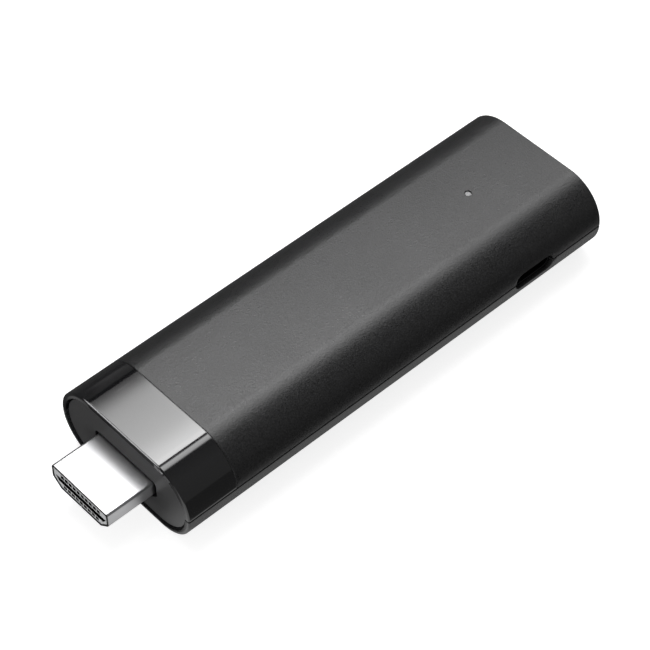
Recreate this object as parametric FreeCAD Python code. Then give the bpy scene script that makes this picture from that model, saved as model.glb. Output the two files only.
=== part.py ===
# Streaming stick: two-part casing, front cap, HDMI plug, USB-C receptacle, board and reset button
import FreeCAD, Part
import math
import os

# Axes: +X along the stick away from the plug, +Y across, +Z up; origin under the middle of its length

# Casing
body_length = 94.2
body_width = 31.65
body_height = 15.5
seam_height = 7.45
side_wall = 1.35
top_wall = 1.4
floor_wall = 1.4
end_wall = 1.6
end_chamfer = 0.3
seam_groove_depth = 0.12
polished_length = 9.9
polished_groove_width = 0.22
polished_groove_depth = 0.1

# Rim round the front cap
rim_side_wall = 1.0
rim_top_wall = 1.15
rim_floor_wall = 0.65
cap_gap = 0.3
cap_setback = 0.3
cap_thickness = 1.8
cap_edge = 0.15
cap_arm_offset = 5.0
cap_arm_width = 4.0
cap_arm_thickness = 0.8
cap_barb_height = 0.35
cap_barb_length = 1.3
cap_tab_length = 3.0
catch_length = 1.0
catch_start = 2.0

# Lip and latches on the seam
lip_thickness = 0.6
lip_height = 1.0
lip_root = 0.5
lip_start = 4.0
latch_stations = (22.0, 44.0)
latch_rear_distance = 8.2
latch_length = 5.0
latch_radius = 0.25
latch_height = 0.6

# Ribs and bosses
rib_stations = (12.0, 32.0, 52.0)
rib_rear_distances = (4.2, 28.2)
rib_thickness = 1.0
rib_reach = 2.2
wall_bite = 0.3
boss_radius = 2.2
boss_gusset = 0.8
boss_gusset_reach = 1.5
boss_gusset_drop = 1.6
screw_radius = 0.8
screw_length = 4.0
screw_head_radius = 1.6
screw_head_height = 1.0
screw_head_chamfer = 0.4
screw_tip_gap = 0.2
screw_socket_radius = 0.65
screw_socket_depth = 0.6
front_screw_station = 12.5
front_screw_margin = 3.2
rear_screw_distance = 6.6
press_rib_stations = (18.0, 44.0)
press_rib_width = 12.0

# Fits between pieces of one body, how far a cutting shape reaches past the piece, and a length of nothing
fit = 0.05
overshoot = 1.0
tiny = 1e-4

# HDMI plug
plug_length = 9.15
plug_width = 13.9
plug_height = 4.45
plug_side_height = 2.8
plug_foot_width = 10.0
plug_center_height = 6.65
plug_wall = 0.3
plug_round = 0.5
plug_lip_chamfer = 0.12
plug_hole_top_clearance = 0.35
plug_hole_side_clearance = 0.6
plug_hole_round = 0.8
plug_slit = 0.1
plug_inside_length = 5.0
plug_face_recess = 0.15
tongue_slot_top = 1.95
tongue_slot_height = 0.9
tongue_slot_width = 12.6
tongue_slot_taper = 0.8
tongue_slot_depth = 6.0
contact_pitch = 1.0
contact_width = 0.3
contact_thickness = 0.14
contact_recess = 0.5
contact_tail_length = 1.6
channel_width = 0.46
upper_contacts = 10
upper_channel_top = 0.95
upper_channel_height = 0.75
lower_contacts = 9
lower_channel_top = 3.2
lower_channel_height = 0.6
plug_wing_length = 4.2
plug_leg_length = 1.4
plug_leg_drop = 0.8

# Main board
board_thickness = 1.0
board_side_gap = 1.275
board_corner = 1.2
board_front_gap = 0.2
board_rear_gap = 0.7
slot_play = 0.1

# USB-C receptacle
usb_rear_distance = 16.4
usb_shell_width = 8.74
usb_shell_height = 2.96
usb_shell_wall = 0.2
usb_shell_length = 7.3
usb_setback = 0.9
port_clearance_side = 0.26
port_clearance_top = 0.1
usb_tongue_width = 6.7
usb_tongue_thickness = 0.7
usb_tongue_length = 4.5
usb_contact_count = 12
usb_contact_pitch = 0.5
usb_contact_width = 0.26
usb_contact_length = 3.4
usb_contact_thickness = 0.06
usb_contact_inset = 0.4
usb_tongue_chamfer = 0.17
usb_tail_length = 0.9
usb_tail_thickness = 0.12
usb_wing_width = 1.2
usb_wing_length = 1.6
usb_wing_stations = (2.4, 5.4)

# Status light
light_rear_distance = 17.2
guide_radius = 0.6
guide_setback = 0.12
guide_flange_radius = 1.6
guide_flange_height = 0.8
guide_stem_radius = 1.1
guide_tip_radius = 0.85
guide_air_gap = 0.3
guide_collar_wall = 0.8
guide_collar_height = 1.3
led_length = 1.6
led_lens_length = 1.0
led_width = 0.8
led_height = 0.6
led_base_height = 0.3

# Reset button in the side away from the port
button_rear_distance = 18.2
button_width = 4.0
button_height = 1.6
button_clearance = 0.1
button_setback = 0.3
button_flange_width = 5.4
button_flange_height = 2.8
button_flange_thickness = 0.6
button_flange_corner = 0.5
button_stop_gap = 0.05
button_travel = 0.25
button_stem_width = 1.8
button_stem_height = 1.0
button_stem_length = 0.3
button_dish_depth = 0.12
button_dish_margin = 0.36
button_pocket_play = 0.35
button_pocket_depth = 1.8
switch_width = 4.6
switch_depth = 2.4
switch_height = 1.65
switch_corner = 0.28
switch_plunger_width = 1.4
switch_plunger_height = 0.9
switch_plunger_reach = 0.5
switch_plunger_root = 0.6
switch_plunger_corner = 0.15
switch_hole_spare = 0.15
switch_clearance = 0.06

# Electronics
shield_start = 15.0
shield_end_margin = 1.0
shield_side_margin = 3.0
shield_corner = 1.0
shield_height = 1.7
shield_sheet = 0.2
shield_flange = 0.7
shield_gap = 0.05
shield_skirt = 1.1
shield_hole_width = 1.2
shield_hole_pitch = 3.2
shield_hole_count = 5
processor_size = 13.0
processor_height = 1.0
memory_length = 8.0
memory_width = 12.0
memory_height = 0.8
memory_gap = 0.8
memory_start_gap = 1.4
package_base = 0.3
package_step = 0.3
pad_corner = 0.5
heat_pad_height = 0.7
heat_sink_overhang = 5.0
heat_sink_width = 17.0
heat_sink_base = 1.2
heat_sink_fins = 6
heat_sink_fin = 1.1
lower_shield_station = 30.0
lower_shield_length = 26.0
lower_shield_width = 17.0
lower_shield_height = 1.8
flash_length = 13.0
flash_width = 11.5
flash_height = 0.9
heat_plate_length = 28.0
heat_plate_width = 15.0
heat_plate_thickness = 1.0
heat_plate_corner = 1.5
module_light_gap = 2.2
module_length = 10.8
module_width = 11.0
module_board = 0.5
module_height = 1.9
module_margin = 0.5
middle_group_gap = 4.6
power_margin = 1.3
power_size = 5.0
power_height = 0.85
inductor_offset = -8.0
inductor_size = 4.0
inductor_height = 1.9
inductor_corner = 0.8
inductor_pitch = 5.6
crystal_margin = 3.45
crystal_length = 3.2
crystal_width = 2.5
crystal_height = 0.7
crystal_lid_step = 0.15
crystal_corner = 0.4
filter_station = 9.8
filter_length = 2.5
filter_width = 1.0
filter_height = 0.5
filter_pitch = 2.2
filter_count = 4
filter_chamfer = 0.12
capacitor_length = 1.6
capacitor_width = 0.8
capacitor_height = 0.8
capacitor_end = 0.3
capacitor_skin = 0.05
capacitor_pitch = 1.7
capacitor_row = 6
capacitor_power_gap = 0.75
capacitor_shield_gap = 1.2
antenna_rear_distance = 6.6
antenna_margin = 4.0
antenna_length = 8.0
antenna_height = 3.2
antenna_arm = 2.2
antenna_sheet = 0.25
antenna_foot = 1.2
antenna_slot = 0.7
antenna_slot_start = 3.6
antenna_slot_pitch = 1.6
antenna_slot_count = 3

# Places worked out from the sizes above
tip_x = -(plug_length + body_length)/2
front_x = tip_x + plug_length
rear_x = front_x + body_length
half_width = body_width/2
cavity_half = half_width - side_wall
roof_z = body_height - top_wall
cavity_end = rear_x - end_wall
cap_front = front_x + cap_setback
cap_rear = cap_front + cap_thickness
plug_top = plug_center_height + plug_height/2
plug_bottom = plug_center_height - plug_height/2
board_top = plug_center_height + board_thickness/2
board_bottom = plug_center_height - board_thickness/2
insulator_rear = front_x + plug_inside_length
board_front = insulator_rear + board_front_gap
board_rear = cavity_end - board_rear_gap
usb_x = rear_x - usb_rear_distance
usb_mouth = -(half_width - usb_setback)
usb_rear = usb_mouth + usb_shell_length
light_x = rear_x - light_rear_distance
button_x = rear_x - button_rear_distance
switch_z = board_top + switch_height/2
flange_outer = cavity_half - button_stop_gap
stem_end = flange_outer - button_flange_thickness - button_stem_length
switch_front = stem_end - switch_plunger_reach
board_half = cavity_half - board_side_gap
processor_x = front_x + shield_start + shield_end_margin + processor_size/2
memory_x = processor_x + (processor_size + memory_length)/2 + memory_start_gap
memory_pitch = memory_length + memory_gap
shield_length = (2*shield_end_margin + processor_size + memory_start_gap + memory_length
                 + memory_pitch)
shield_width = max(processor_size, memory_width) + 2*shield_side_margin
shield_x = front_x + shield_start + shield_length/2
middle_x = front_x + shield_start + shield_length + middle_group_gap
power_y = -(board_half - power_margin - power_size/2)
crystal_y = board_half - crystal_margin - crystal_width/2
capacitor_x = front_x + shield_start + shield_length + capacitor_shield_gap + capacitor_length/2
capacitor_y = (power_y + power_size/2 + capacitor_power_gap
               + (capacitor_width + (capacitor_row - 1)*capacitor_pitch)/2)
module_x = light_x - guide_flange_radius - module_light_gap - module_length/2
lower_shield_x = front_x + lower_shield_station
lid_top = board_top + shield_height + shield_gap + shield_sheet
sink_bottom = lid_top + heat_pad_height
sink_top = roof_z - wall_bite

V = FreeCAD.Vector


# Shape helpers
def block(x0, x1, y0, y1, z0, z1):
    """Box between two corners."""
    return Part.makeBox(x1 - x0, y1 - y0, z1 - z0, V(x0, y0, z0))


def rectangle(cu, cv, width, height):
    """Corners of a rectangle about a centre, anticlockwise."""
    a, b = width/2, height/2
    return [(cu - a, cv - b), (cu + a, cv - b), (cu + a, cv + b), (cu - a, cv + b)]


def clipped(points, cut):
    """Outline with every corner cut off at 45 degrees."""
    result = []
    for i, corner in enumerate(points):
        for other in (points[i - 1], points[(i + 1) % len(points)]):
            d = math.hypot(other[0] - corner[0], other[1] - corner[1])
            result.append((corner[0] + (other[0] - corner[0])*cut/d,
                           corner[1] + (other[1] - corner[1])*cut/d))
    return result


def outline(points, place, radius=0.0):
    """Closed wire through flat points, every corner rounded by one radius."""
    edges = []
    starts, ends = [], []
    count = len(points)
    for i, corner in enumerate(points):
        before, after = points[i - 1], points[(i + 1) % count]
        if radius == 0:
            starts.append(corner)
            ends.append(corner)
            continue
        ux, uy = before[0] - corner[0], before[1] - corner[1]
        wx, wy = after[0] - corner[0], after[1] - corner[1]
        u, w = math.hypot(ux, uy), math.hypot(wx, wy)
        ux, uy, wx, wy = ux/u, uy/u, wx/w, wy/w
        half = math.acos(max(-1.0, min(1.0, ux*wx + uy*wy)))/2
        run = radius/math.tan(half)
        start = (corner[0] + ux*run, corner[1] + uy*run)
        end = (corner[0] + wx*run, corner[1] + wy*run)
        bx, by = ux + wx, uy + wy
        b = math.hypot(bx, by)
        depth = radius/math.sin(half) - radius
        middle = (corner[0] + bx/b*depth, corner[1] + by/b*depth)
        edges.append((i, Part.Arc(place(*start), place(*middle), place(*end)).toShape()))
        starts.append(start)
        ends.append(end)
    for i in range(count):
        a, b = ends[i], starts[(i + 1) % count]
        if math.hypot(b[0] - a[0], b[1] - a[1]) > tiny:
            edges.append((i + 0.5, Part.LineSegment(place(*a), place(*b)).toShape()))
    edges.sort(key=lambda pair: pair[0])
    return Part.Wire([edge for _, edge in edges])


def along_x(points, x0, x1, radius=0.0):
    """Prism of a (y, z) outline from x0 to x1."""
    wire = outline(points, lambda y, z: V(x0, y, z), radius)
    return Part.Face(wire).extrude(V(x1 - x0, 0, 0))


def along_y(points, y0, y1, radius=0.0):
    """Prism of an (x, z) outline from y0 to y1."""
    wire = outline(points, lambda x, z: V(x, y0, z), radius)
    return Part.Face(wire).extrude(V(0, y1 - y0, 0))


def along_z(points, z0, z1, radius=0.0):
    """Prism of an (x, y) outline from z0 to z1."""
    wire = outline(points, lambda x, y: V(x, y, z0), radius)
    return Part.Face(wire).extrude(V(0, 0, z1 - z0))


def post(x, y, z0, z1, radius):
    """Upright cylinder."""
    return Part.makeCylinder(radius, z1 - z0, V(x, y, z0))


def inset(points, distance):
    """Convex anticlockwise outline moved inwards by a distance on every side."""
    moved = []
    for i, (px, py) in enumerate(points):
        ax, ay = points[i - 1]
        bx, by = points[(i + 1) % len(points)]
        u, w = math.hypot(px - ax, py - ay), math.hypot(bx - px, by - py)
        n1 = (-(py - ay)/u, (px - ax)/u)
        n2 = (-(by - py)/w, (bx - px)/w)
        k = distance/(1 + n1[0]*n2[0] + n1[1]*n2[1])
        moved.append((px + k*(n1[0] + n2[0]), py + k*(n1[1] + n2[1])))
    return moved


def ribbon(path, thickness):
    """Outline of a bent strip that follows a path, with mitred bends."""
    sides = ([], [])
    for i, (px, py) in enumerate(path):
        a = path[max(i - 1, 0)]
        b = path[min(i + 1, len(path) - 1)]
        n = []
        for p, q in ((a, (px, py)), ((px, py), b)):
            d = math.hypot(q[0] - p[0], q[1] - p[1])
            if d > 0:
                n.append((-(q[1] - p[1])/d, (q[0] - p[0])/d))
        n1, n2 = n[0], n[-1]
        k = thickness/2/(1 + n1[0]*n2[0] + n1[1]*n2[1])
        dx, dy = k*(n1[0] + n2[0]), k*(n1[1] + n2[1])
        sides[0].append((px + dx, py + dy))
        sides[1].append((px - dx, py - dy))
    return sides[1] + sides[0][::-1]


def edges_at_x(shape, x):
    """Edges that lie in the plane at x."""
    return [e for e in shape.Edges
            if abs(e.BoundBox.XMin - x) < tiny and abs(e.BoundBox.XMax - x) < tiny]


def both_sides(shape):
    """A shape and its mirror image across the middle plane of the stick."""
    return [shape, shape.mirror(V(0, 0, 0), V(0, 1, 0))]


def body_bar(half, bottom, top, x0, x1):
    """Bar with the casing's section: flat top and bottom, and arcs that stand upright at the seam."""
    up, down = top - seam_height, seam_height - bottom
    yu, yd = half - up, half - down
    su, sd = up*math.sqrt(0.5), down*math.sqrt(0.5)

    def at(y, z):
        return V(x0, y, z)
    edges = [
        Part.Arc(at(half, seam_height), at(yu + su, seam_height + su), at(yu, top)).toShape(),
        Part.LineSegment(at(yu, top), at(-yu, top)).toShape(),
        Part.Arc(at(-yu, top), at(-yu - su, seam_height + su), at(-half, seam_height)).toShape(),
        Part.Arc(at(-half, seam_height), at(-yd - sd, seam_height - sd), at(-yd, bottom)).toShape(),
        Part.LineSegment(at(-yd, bottom), at(yd, bottom)).toShape(),
        Part.Arc(at(yd, bottom), at(yd + sd, seam_height - sd), at(half, seam_height)).toShape()]
    return Part.Face(Part.Wire(edges)).extrude(V(x1 - x0, 0, 0))


def pill(cx, cz, width, height):
    """Corners and end radius of a slot with round ends."""
    return rectangle(cx, cz, width, height), height/2


# Casing
def casing_bar():
    """Solid bar of the whole casing, hollowed for the board and recessed for the front cap."""
    bar = body_bar(half_width, 0, body_height, front_x, rear_x)
    bar = bar.makeChamfer(end_chamfer, edges_at_x(bar, front_x) + edges_at_x(bar, rear_x))
    recess = body_bar(half_width - rim_side_wall, rim_floor_wall, body_height - rim_top_wall,
                      front_x - overshoot, cap_rear)
    cavity = body_bar(cavity_half, floor_wall, roof_z, front_x, cavity_end)
    return bar.cut([recess, cavity, *seam_grooves()])


def seam_grooves():
    """Fine V grooves where the two halves meet: both long sides, far end and front rim."""
    g = seam_groove_depth
    side = along_x([(half_width - g, seam_height), (half_width + g, seam_height - 2*g),
                    (half_width + g, seam_height + 2*g)], front_x - overshoot, rear_x + overshoot)
    grooves = both_sides(side)
    for x, way in ((front_x, 1), (rear_x, -1)):
        points = [(x + way*g, seam_height), (x - way*g, seam_height - 2*g),
                  (x - way*g, seam_height + 2*g)]
        grooves.append(along_y(points, -half_width - overshoot, half_width + overshoot))
    return grooves


def half_space(above):
    """Space above or below the seam."""
    z0, z1 = (seam_height, body_height + overshoot) if above else (-overshoot, seam_height)
    y = half_width + overshoot
    return block(front_x - overshoot, rear_x + overshoot, -y, y, z0, z1)


def port_cut():
    """Slot in the near side for the USB-C receptacle, centred on the seam."""
    points, radius = pill(usb_x, seam_height, usb_shell_width + 2*port_clearance_side,
                          usb_shell_height + 2*port_clearance_top)
    return along_y(points, -half_width - overshoot, -cavity_half + overshoot, radius)


def button_cut():
    """Hole for the reset button in the far side, with a flat seat for its flange inside."""
    points, radius = pill(button_x, seam_height, button_width + 2*button_clearance,
                          button_height + 2*button_clearance)
    hole = along_y(points, cavity_half - overshoot, half_width + overshoot, radius)
    seat = along_y(rectangle(button_x, seam_height, button_flange_width + 2*button_pocket_play,
                             button_flange_height + 2*button_pocket_play),
                   flange_outer - button_pocket_depth, cavity_half)
    return hole.fuse(seat)


def lip_strips(play):
    """Strips of the seam lip along both sides and the far end, grown by the play of its rebate."""
    low = seam_height - lip_root
    high = seam_height + lip_height + play
    outer = cavity_half + lip_thickness + play
    start = front_x + lip_start - play
    end = cavity_end + lip_thickness + play
    side = block(start, end, cavity_half - play, outer, low, high)
    return both_sides(side) + [block(cavity_end - play, end, -outer, outer, low, high)]


def latch_beads(play):
    """Half-round beads that snap the halves together, grown by the play of their grooves."""
    beads = []
    centres = [front_x + s for s in latch_stations] + [rear_x - latch_rear_distance]
    for x in centres:
        start = x - latch_length/2 - play
        bead = Part.makeCylinder(latch_radius + play, latch_length + 2*play,
                                 V(start, cavity_half + lip_thickness, seam_height + latch_height),
                                 V(1, 0, 0))
        beads += both_sides(bead)
    return beads


def inside_walls():
    """Space of the cavity, and a little way into its walls, that ribs and bosses fill."""
    return body_bar(cavity_half + wall_bite, floor_wall - wall_bite, roof_z + wall_bite,
                    front_x, cavity_end)


def side_ribs(z0, z1):
    """Ribs on both side walls that hold the edges of the board between two heights."""
    inside = inside_walls()
    ribs = []
    starts = [front_x + s for s in rib_stations] + [rear_x - s for s in rib_rear_distances]
    for x in starts:
        rib = block(x, x + rib_thickness, cavity_half - rib_reach, half_width, z0, z1)
        ribs += both_sides(rib.common(inside))
    return ribs


def roof_catches():
    """Low ribs under the roof that the front cap's arms hook behind."""
    x = cap_rear + catch_start
    low = roof_z - cap_barb_height
    half = cap_arm_width/2
    return both_sides(block(x, x + catch_length, cap_arm_offset - half, cap_arm_offset + half,
                            low, roof_z + wall_bite))


def press_ribs():
    """Ribs under the roof that press on the heat sink."""
    return [block(front_x + s, front_x + s + rib_thickness, -press_rib_width/2, press_rib_width/2,
                  sink_top, roof_z + wall_bite) for s in press_rib_stations]


def polished_groove():
    """Fine groove over the top and sides where the polished band ends."""
    start = front_x + polished_length
    end = start + polished_groove_width
    outer = body_bar(half_width + overshoot, -overshoot, body_height + overshoot, start, end)
    d = polished_groove_depth
    return outer.cut(body_bar(half_width - d, d, body_height - d, start, end))


def light_hole():
    """Hole in the roof for the light guide, with room for its flange below."""
    return post(light_x, 0, roof_z - guide_collar_height, body_height + overshoot, guide_radius + fit)


def light_collar():
    """Collar under the roof that holds the flange of the light guide."""
    outer = post(light_x, 0, roof_z - guide_collar_height, roof_z + wall_bite,
                 guide_flange_radius + fit + guide_collar_wall)
    return outer.cut(post(light_x, 0, roof_z - guide_collar_height, roof_z,
                          guide_flange_radius + fit))


def upper_housing():
    """Top half: matte face with a polished band, seam rebate, latch grooves and inner ribs."""
    half = casing_bar().common(half_space(True))
    half = half.fuse(side_ribs(board_top + fit, body_height) + roof_catches() + press_ribs()
                     + [light_collar()])
    return half.cut(lip_strips(fit) + latch_beads(fit)
                    + [port_cut(), button_cut(), light_hole(), polished_groove()])


def screw_places():
    """Where the board screws go down into their bosses."""
    x = front_x + front_screw_station
    y = board_half - front_screw_margin
    return [(x, y), (x, -y), (rear_x - rear_screw_distance, 0.0)]


def screw_boss(x, y):
    """Boss on the floor with two crossed gussets."""
    boss = post(x, y, floor_wall - wall_bite, board_bottom, boss_radius)
    reach = boss_radius + boss_gusset_reach
    half = boss_gusset/2
    top = board_bottom - boss_gusset_drop
    low = floor_wall - wall_bite
    gussets = [block(x - reach, x + reach, y - half, y + half, low, top),
               block(x - half, x + half, y - reach, y + reach, low, top)]
    return boss.fuse(gussets).common(inside_walls())


def lower_cover():
    """Bottom half: seam lip with latch beads, screw bosses and board ribs."""
    half = casing_bar().common(half_space(False))
    half = half.fuse(lip_strips(0) + latch_beads(0) + side_ribs(0, board_bottom))
    half = half.fuse([screw_boss(x, y) for x, y in screw_places()])
    pilots = [post(x, y, board_bottom - screw_length, board_bottom + overshoot, screw_radius + fit/2)
              for x, y in screw_places()]
    return half.cut([port_cut(), button_cut(), *pilots])


def plug_section():
    """Outline of the plug as (y, z), anticlockwise: upright sides over a narrower foot."""
    w, foot = plug_width/2, plug_foot_width/2
    shoulder = plug_top - plug_side_height
    return [(-foot, plug_bottom), (foot, plug_bottom), (w, shoulder), (w, plug_top),
            (-w, plug_top), (-w, shoulder)]


def plug_hole():
    """Hole of the front cap: the plug's outline with room at the top and the sides."""
    side, top = plug_hole_side_clearance, plug_hole_top_clearance
    points = inset(plug_section(), -top)
    widened = [(y + math.copysign(side - top, y), z) for y, z in points]
    return along_x(widened, cap_front - overshoot, cap_rear + overshoot, plug_hole_round)


def cap_arm():
    """Springy arm under the roof with a barb that hooks behind its catch."""
    half = cap_arm_width/2
    top = roof_z - cap_barb_height - fit
    low = top - cap_arm_thickness
    catch_end = cap_rear + catch_start + catch_length + fit
    barb_end = catch_end + cap_barb_length
    points = [(cap_rear - wall_bite, low), (barb_end, low), (barb_end, top),
              (catch_end + fit, roof_z - fit), (catch_end, roof_z - fit), (catch_end, top),
              (cap_rear - wall_bite, top)]
    return along_y(points, cap_arm_offset - half, cap_arm_offset + half)


def cap_tab():
    """Tab along the floor that keeps the cap from lifting."""
    half = cap_arm_width/2
    low = floor_wall + fit
    return block(cap_rear - wall_bite, cap_rear + cap_tab_length, cap_arm_offset - half,
                 cap_arm_offset + half, low, low + cap_arm_thickness)


def front_cap():
    """Inset cap that closes the plug end and seats on the shoulder inside the rim."""
    plate = body_bar(half_width - rim_side_wall - cap_gap, rim_floor_wall + cap_gap,
                     body_height - rim_top_wall - cap_gap, cap_front, cap_rear)
    plate = plate.makeChamfer(cap_edge, edges_at_x(plate, cap_front))
    plate = plate.fuse(both_sides(cap_arm()) + both_sides(cap_tab()))
    return plate.cut(plug_hole())


# HDMI plug
def plug_wing():
    """Side of the shell that runs back over the board, with two legs down through it."""
    outer = plug_width/2
    inner = outer - plug_wall
    wing_end = insulator_rear + plug_wing_length
    wing = block(insulator_rear - wall_bite, wing_end, inner, outer, board_top + fit,
                 plug_top - plug_round)
    legs = [block(x, x + plug_leg_length, inner, outer, board_bottom - plug_leg_drop,
                  board_top + fit + plug_wall) for x in leg_starts()]
    return wing.fuse(legs)


def leg_starts():
    """Where the two legs of each wing begin."""
    first = board_front + plug_wall
    return [first, insulator_rear + plug_wing_length - plug_leg_length]


def hdmi_shell():
    """Folded metal shell, open at the front, slit along its underside where the sheet meets."""
    outer = along_x(plug_section(), tip_x, insulator_rear, plug_round)
    outer = outer.makeChamfer(plug_lip_chamfer, edges_at_x(outer, tip_x))
    inner = along_x(inset(plug_section(), plug_wall), tip_x - overshoot, insulator_rear + overshoot,
                    plug_round - plug_wall)
    slit = block(tip_x - overshoot, insulator_rear + overshoot, -plug_slit/2, plug_slit/2,
                 plug_bottom - overshoot, plug_center_height)
    return outer.fuse(both_sides(plug_wing())).cut([inner, slit])


def row_places(count):
    """Places across the plug of one row of contacts, centred."""
    return [(i - (count - 1)/2)*contact_pitch for i in range(count)]


def channels(count, drop, height):
    """Channels of one row, from the face right through the insulator."""
    middle = plug_top - drop - height/2
    return [along_x(rectangle(y, middle, channel_width, height), tip_x - overshoot,
                    insulator_rear + overshoot) for y in row_places(count)]


def hdmi_insulator():
    """Moulded block in the shell, with the slot for the socket's tongue between two contact rows."""
    face = tip_x + plug_face_recess
    core = along_x(inset(plug_section(), plug_wall + fit/2), face, insulator_rear,
                   plug_round - plug_wall)
    top = plug_top - tongue_slot_top
    low = top - tongue_slot_height
    wide, narrow = tongue_slot_width/2, tongue_slot_width/2 - tongue_slot_taper
    slot = along_x([(-narrow, low), (narrow, low), (wide, top), (-wide, top)],
                   face - overshoot, face + tongue_slot_depth)
    return core.cut([slot, *channels(upper_contacts, upper_channel_top, upper_channel_height),
                     *channels(lower_contacts, lower_channel_top, lower_channel_height)])


def contact_row(count, drop, height, tail):
    """Bent contact strips of one row, from the face to their soldered tails on the board."""
    run = plug_top - drop - height/2
    start = tip_x + plug_face_recess + contact_recess
    bend = insulator_rear + board_front_gap/2
    path = [(start, run), (insulator_rear + fit, run), (bend + 2*fit, tail),
            (bend + contact_tail_length, tail)]
    points = ribbon(path, contact_thickness)
    half = contact_width/2
    return [along_y(points, y - half, y + half) for y in row_places(count)]


def hdmi_contacts_upper():
    """Upper row, soldered on the top of the board."""
    return contact_row(upper_contacts, upper_channel_top, upper_channel_height,
                       board_top + contact_thickness/2)


def hdmi_contacts_lower():
    """Lower row, soldered under the board."""
    return contact_row(lower_contacts, lower_channel_top, lower_channel_height,
                       board_bottom - contact_thickness/2)


# Main board
def main_board():
    """Board with a notch for the receptacle, screw holes and slots for the plug's legs."""
    half = board_half
    plate = along_z(rectangle((board_front + board_rear)/2, 0, board_rear - board_front, 2*half),
                    board_bottom, board_top, board_corner)
    notch_half = usb_shell_width/2 + slot_play
    cuts = [block(usb_x - notch_half, usb_x + notch_half, -half - overshoot, usb_rear + slot_play,
                  board_bottom - overshoot, board_top + overshoot)]
    cuts += [post(x, y, board_bottom - overshoot, board_top + overshoot, screw_radius + slot_play)
             for x, y in screw_places()]
    outer = plug_width/2 + slot_play
    inner = plug_width/2 - plug_wall - slot_play
    for x in leg_starts():
        cuts += both_sides(block(x - slot_play, x + plug_leg_length + slot_play, inner, outer,
                                 board_bottom - overshoot, board_top + overshoot))
    return plate.cut(cuts)


def board_screws():
    """Pan-head screws that hold the board on its bosses."""
    top = board_top + screw_head_height
    tip = board_bottom - screw_length + screw_tip_gap
    profile = [(0, tip), (screw_radius, tip), (screw_radius, board_top), (screw_head_radius, board_top),
               (screw_head_radius, top - screw_head_chamfer), (screw_head_radius - screw_head_chamfer, top),
               (0, top)]
    wire = Part.makePolygon([V(r, 0, z) for r, z in profile + profile[:1]])
    screw = Part.Face(wire).revolve(V(0, 0, 0), V(0, 0, 1), 360)
    socket = [(screw_socket_radius*math.cos(math.radians(60*i)),
               screw_socket_radius*math.sin(math.radians(60*i))) for i in range(6)]
    screw = screw.cut(along_z(socket, top - screw_socket_depth, top + overshoot))
    return [screw.translated(V(x, y, 0)) for x, y in screw_places()]


# USB-C receptacle
def usb_shell():
    """Seamless metal shell of the receptacle with four wings soldered on the board."""
    points, radius = pill(usb_x, seam_height, usb_shell_width, usb_shell_height)
    outer = along_y(points, usb_mouth, usb_rear, radius)
    wings = []
    for start in usb_wing_stations:
        for way in (-1, 1):
            x0 = usb_x + way*(usb_shell_width/2 - usb_shell_wall)
            x1 = usb_x + way*(usb_shell_width/2 + usb_wing_width)
            wings.append(block(min(x0, x1), max(x0, x1), usb_mouth + start,
                               usb_mouth + start + usb_wing_length, board_top,
                               board_top + usb_shell_wall))
    w = usb_shell_wall
    points, radius = pill(usb_x, seam_height, usb_shell_width - 2*w, usb_shell_height - 2*w)
    bore = along_y(points, usb_mouth - overshoot, usb_rear + overshoot, radius)
    return outer.fuse(wings).cut(bore)


def usb_insulator():
    """Rear block of the receptacle with the thin tongue that the contacts lie on."""
    w = usb_shell_wall + fit/2
    points, radius = pill(usb_x, seam_height, usb_shell_width - 2*w, usb_shell_height - 2*w)
    block_front = usb_rear - (usb_shell_length - usb_tongue_length - usb_contact_inset)
    rear = along_y(points, block_front, usb_rear, radius)
    tongue = block(usb_x - usb_tongue_width/2, usb_x + usb_tongue_width/2,
                   block_front - usb_tongue_length, block_front + wall_bite,
                   seam_height - usb_tongue_thickness/2, seam_height + usb_tongue_thickness/2)
    nose = [e for e in tongue.Edges if abs(e.BoundBox.YMax - (block_front - usb_tongue_length)) < tiny
            and e.BoundBox.ZLength < tiny]
    tongue = tongue.makeChamfer(usb_tongue_chamfer, nose)
    return rear.fuse(tongue)


def usb_contacts():
    """Contact pads on both faces of the tongue, and the soldered tails behind the block."""
    pieces = []
    block_front = usb_rear - (usb_shell_length - usb_tongue_length - usb_contact_inset)
    half = usb_contact_width/2
    for i in range(usb_contact_count):
        x = usb_x + (i - (usb_contact_count - 1)/2)*usb_contact_pitch
        for face, way in ((usb_tongue_thickness/2, 1), (-usb_tongue_thickness/2, -1)):
            z0 = seam_height + face
            z1 = z0 + way*usb_contact_thickness
            pieces.append(block(x - half, x + half, block_front - usb_contact_length, block_front,
                                min(z0, z1), max(z0, z1)))
        pieces.append(block(x - half, x + half, usb_rear, usb_rear + slot_play + usb_tail_length,
                            board_top, board_top + usb_tail_thickness))
    return pieces


# Status light
def light_guide():
    """Clear guide: round window in the roof, flange in its collar and a stem down to the light."""
    led_top = board_top + led_height
    profile = [(0, led_top + guide_air_gap), (guide_tip_radius, led_top + guide_air_gap),
               (guide_stem_radius, roof_z - guide_flange_height),
               (guide_flange_radius, roof_z - guide_flange_height), (guide_flange_radius, roof_z),
               (guide_radius, roof_z), (guide_radius, body_height - guide_setback),
               (0, body_height - guide_setback)]
    wire = Part.makePolygon([V(light_x + r, 0, z) for r, z in profile + profile[:1]])
    return Part.Face(wire).revolve(V(light_x, 0, 0), V(0, 0, 1), 360)


def status_led():
    """Small surface-mount light under the guide."""
    step = board_top + led_base_height
    base = along_z(rectangle(light_x, 0, led_length, led_width), board_top, step)
    lens = along_z(rectangle(light_x, 0, led_lens_length, led_width), step, board_top + led_height)
    return base.fuse(lens)


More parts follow.
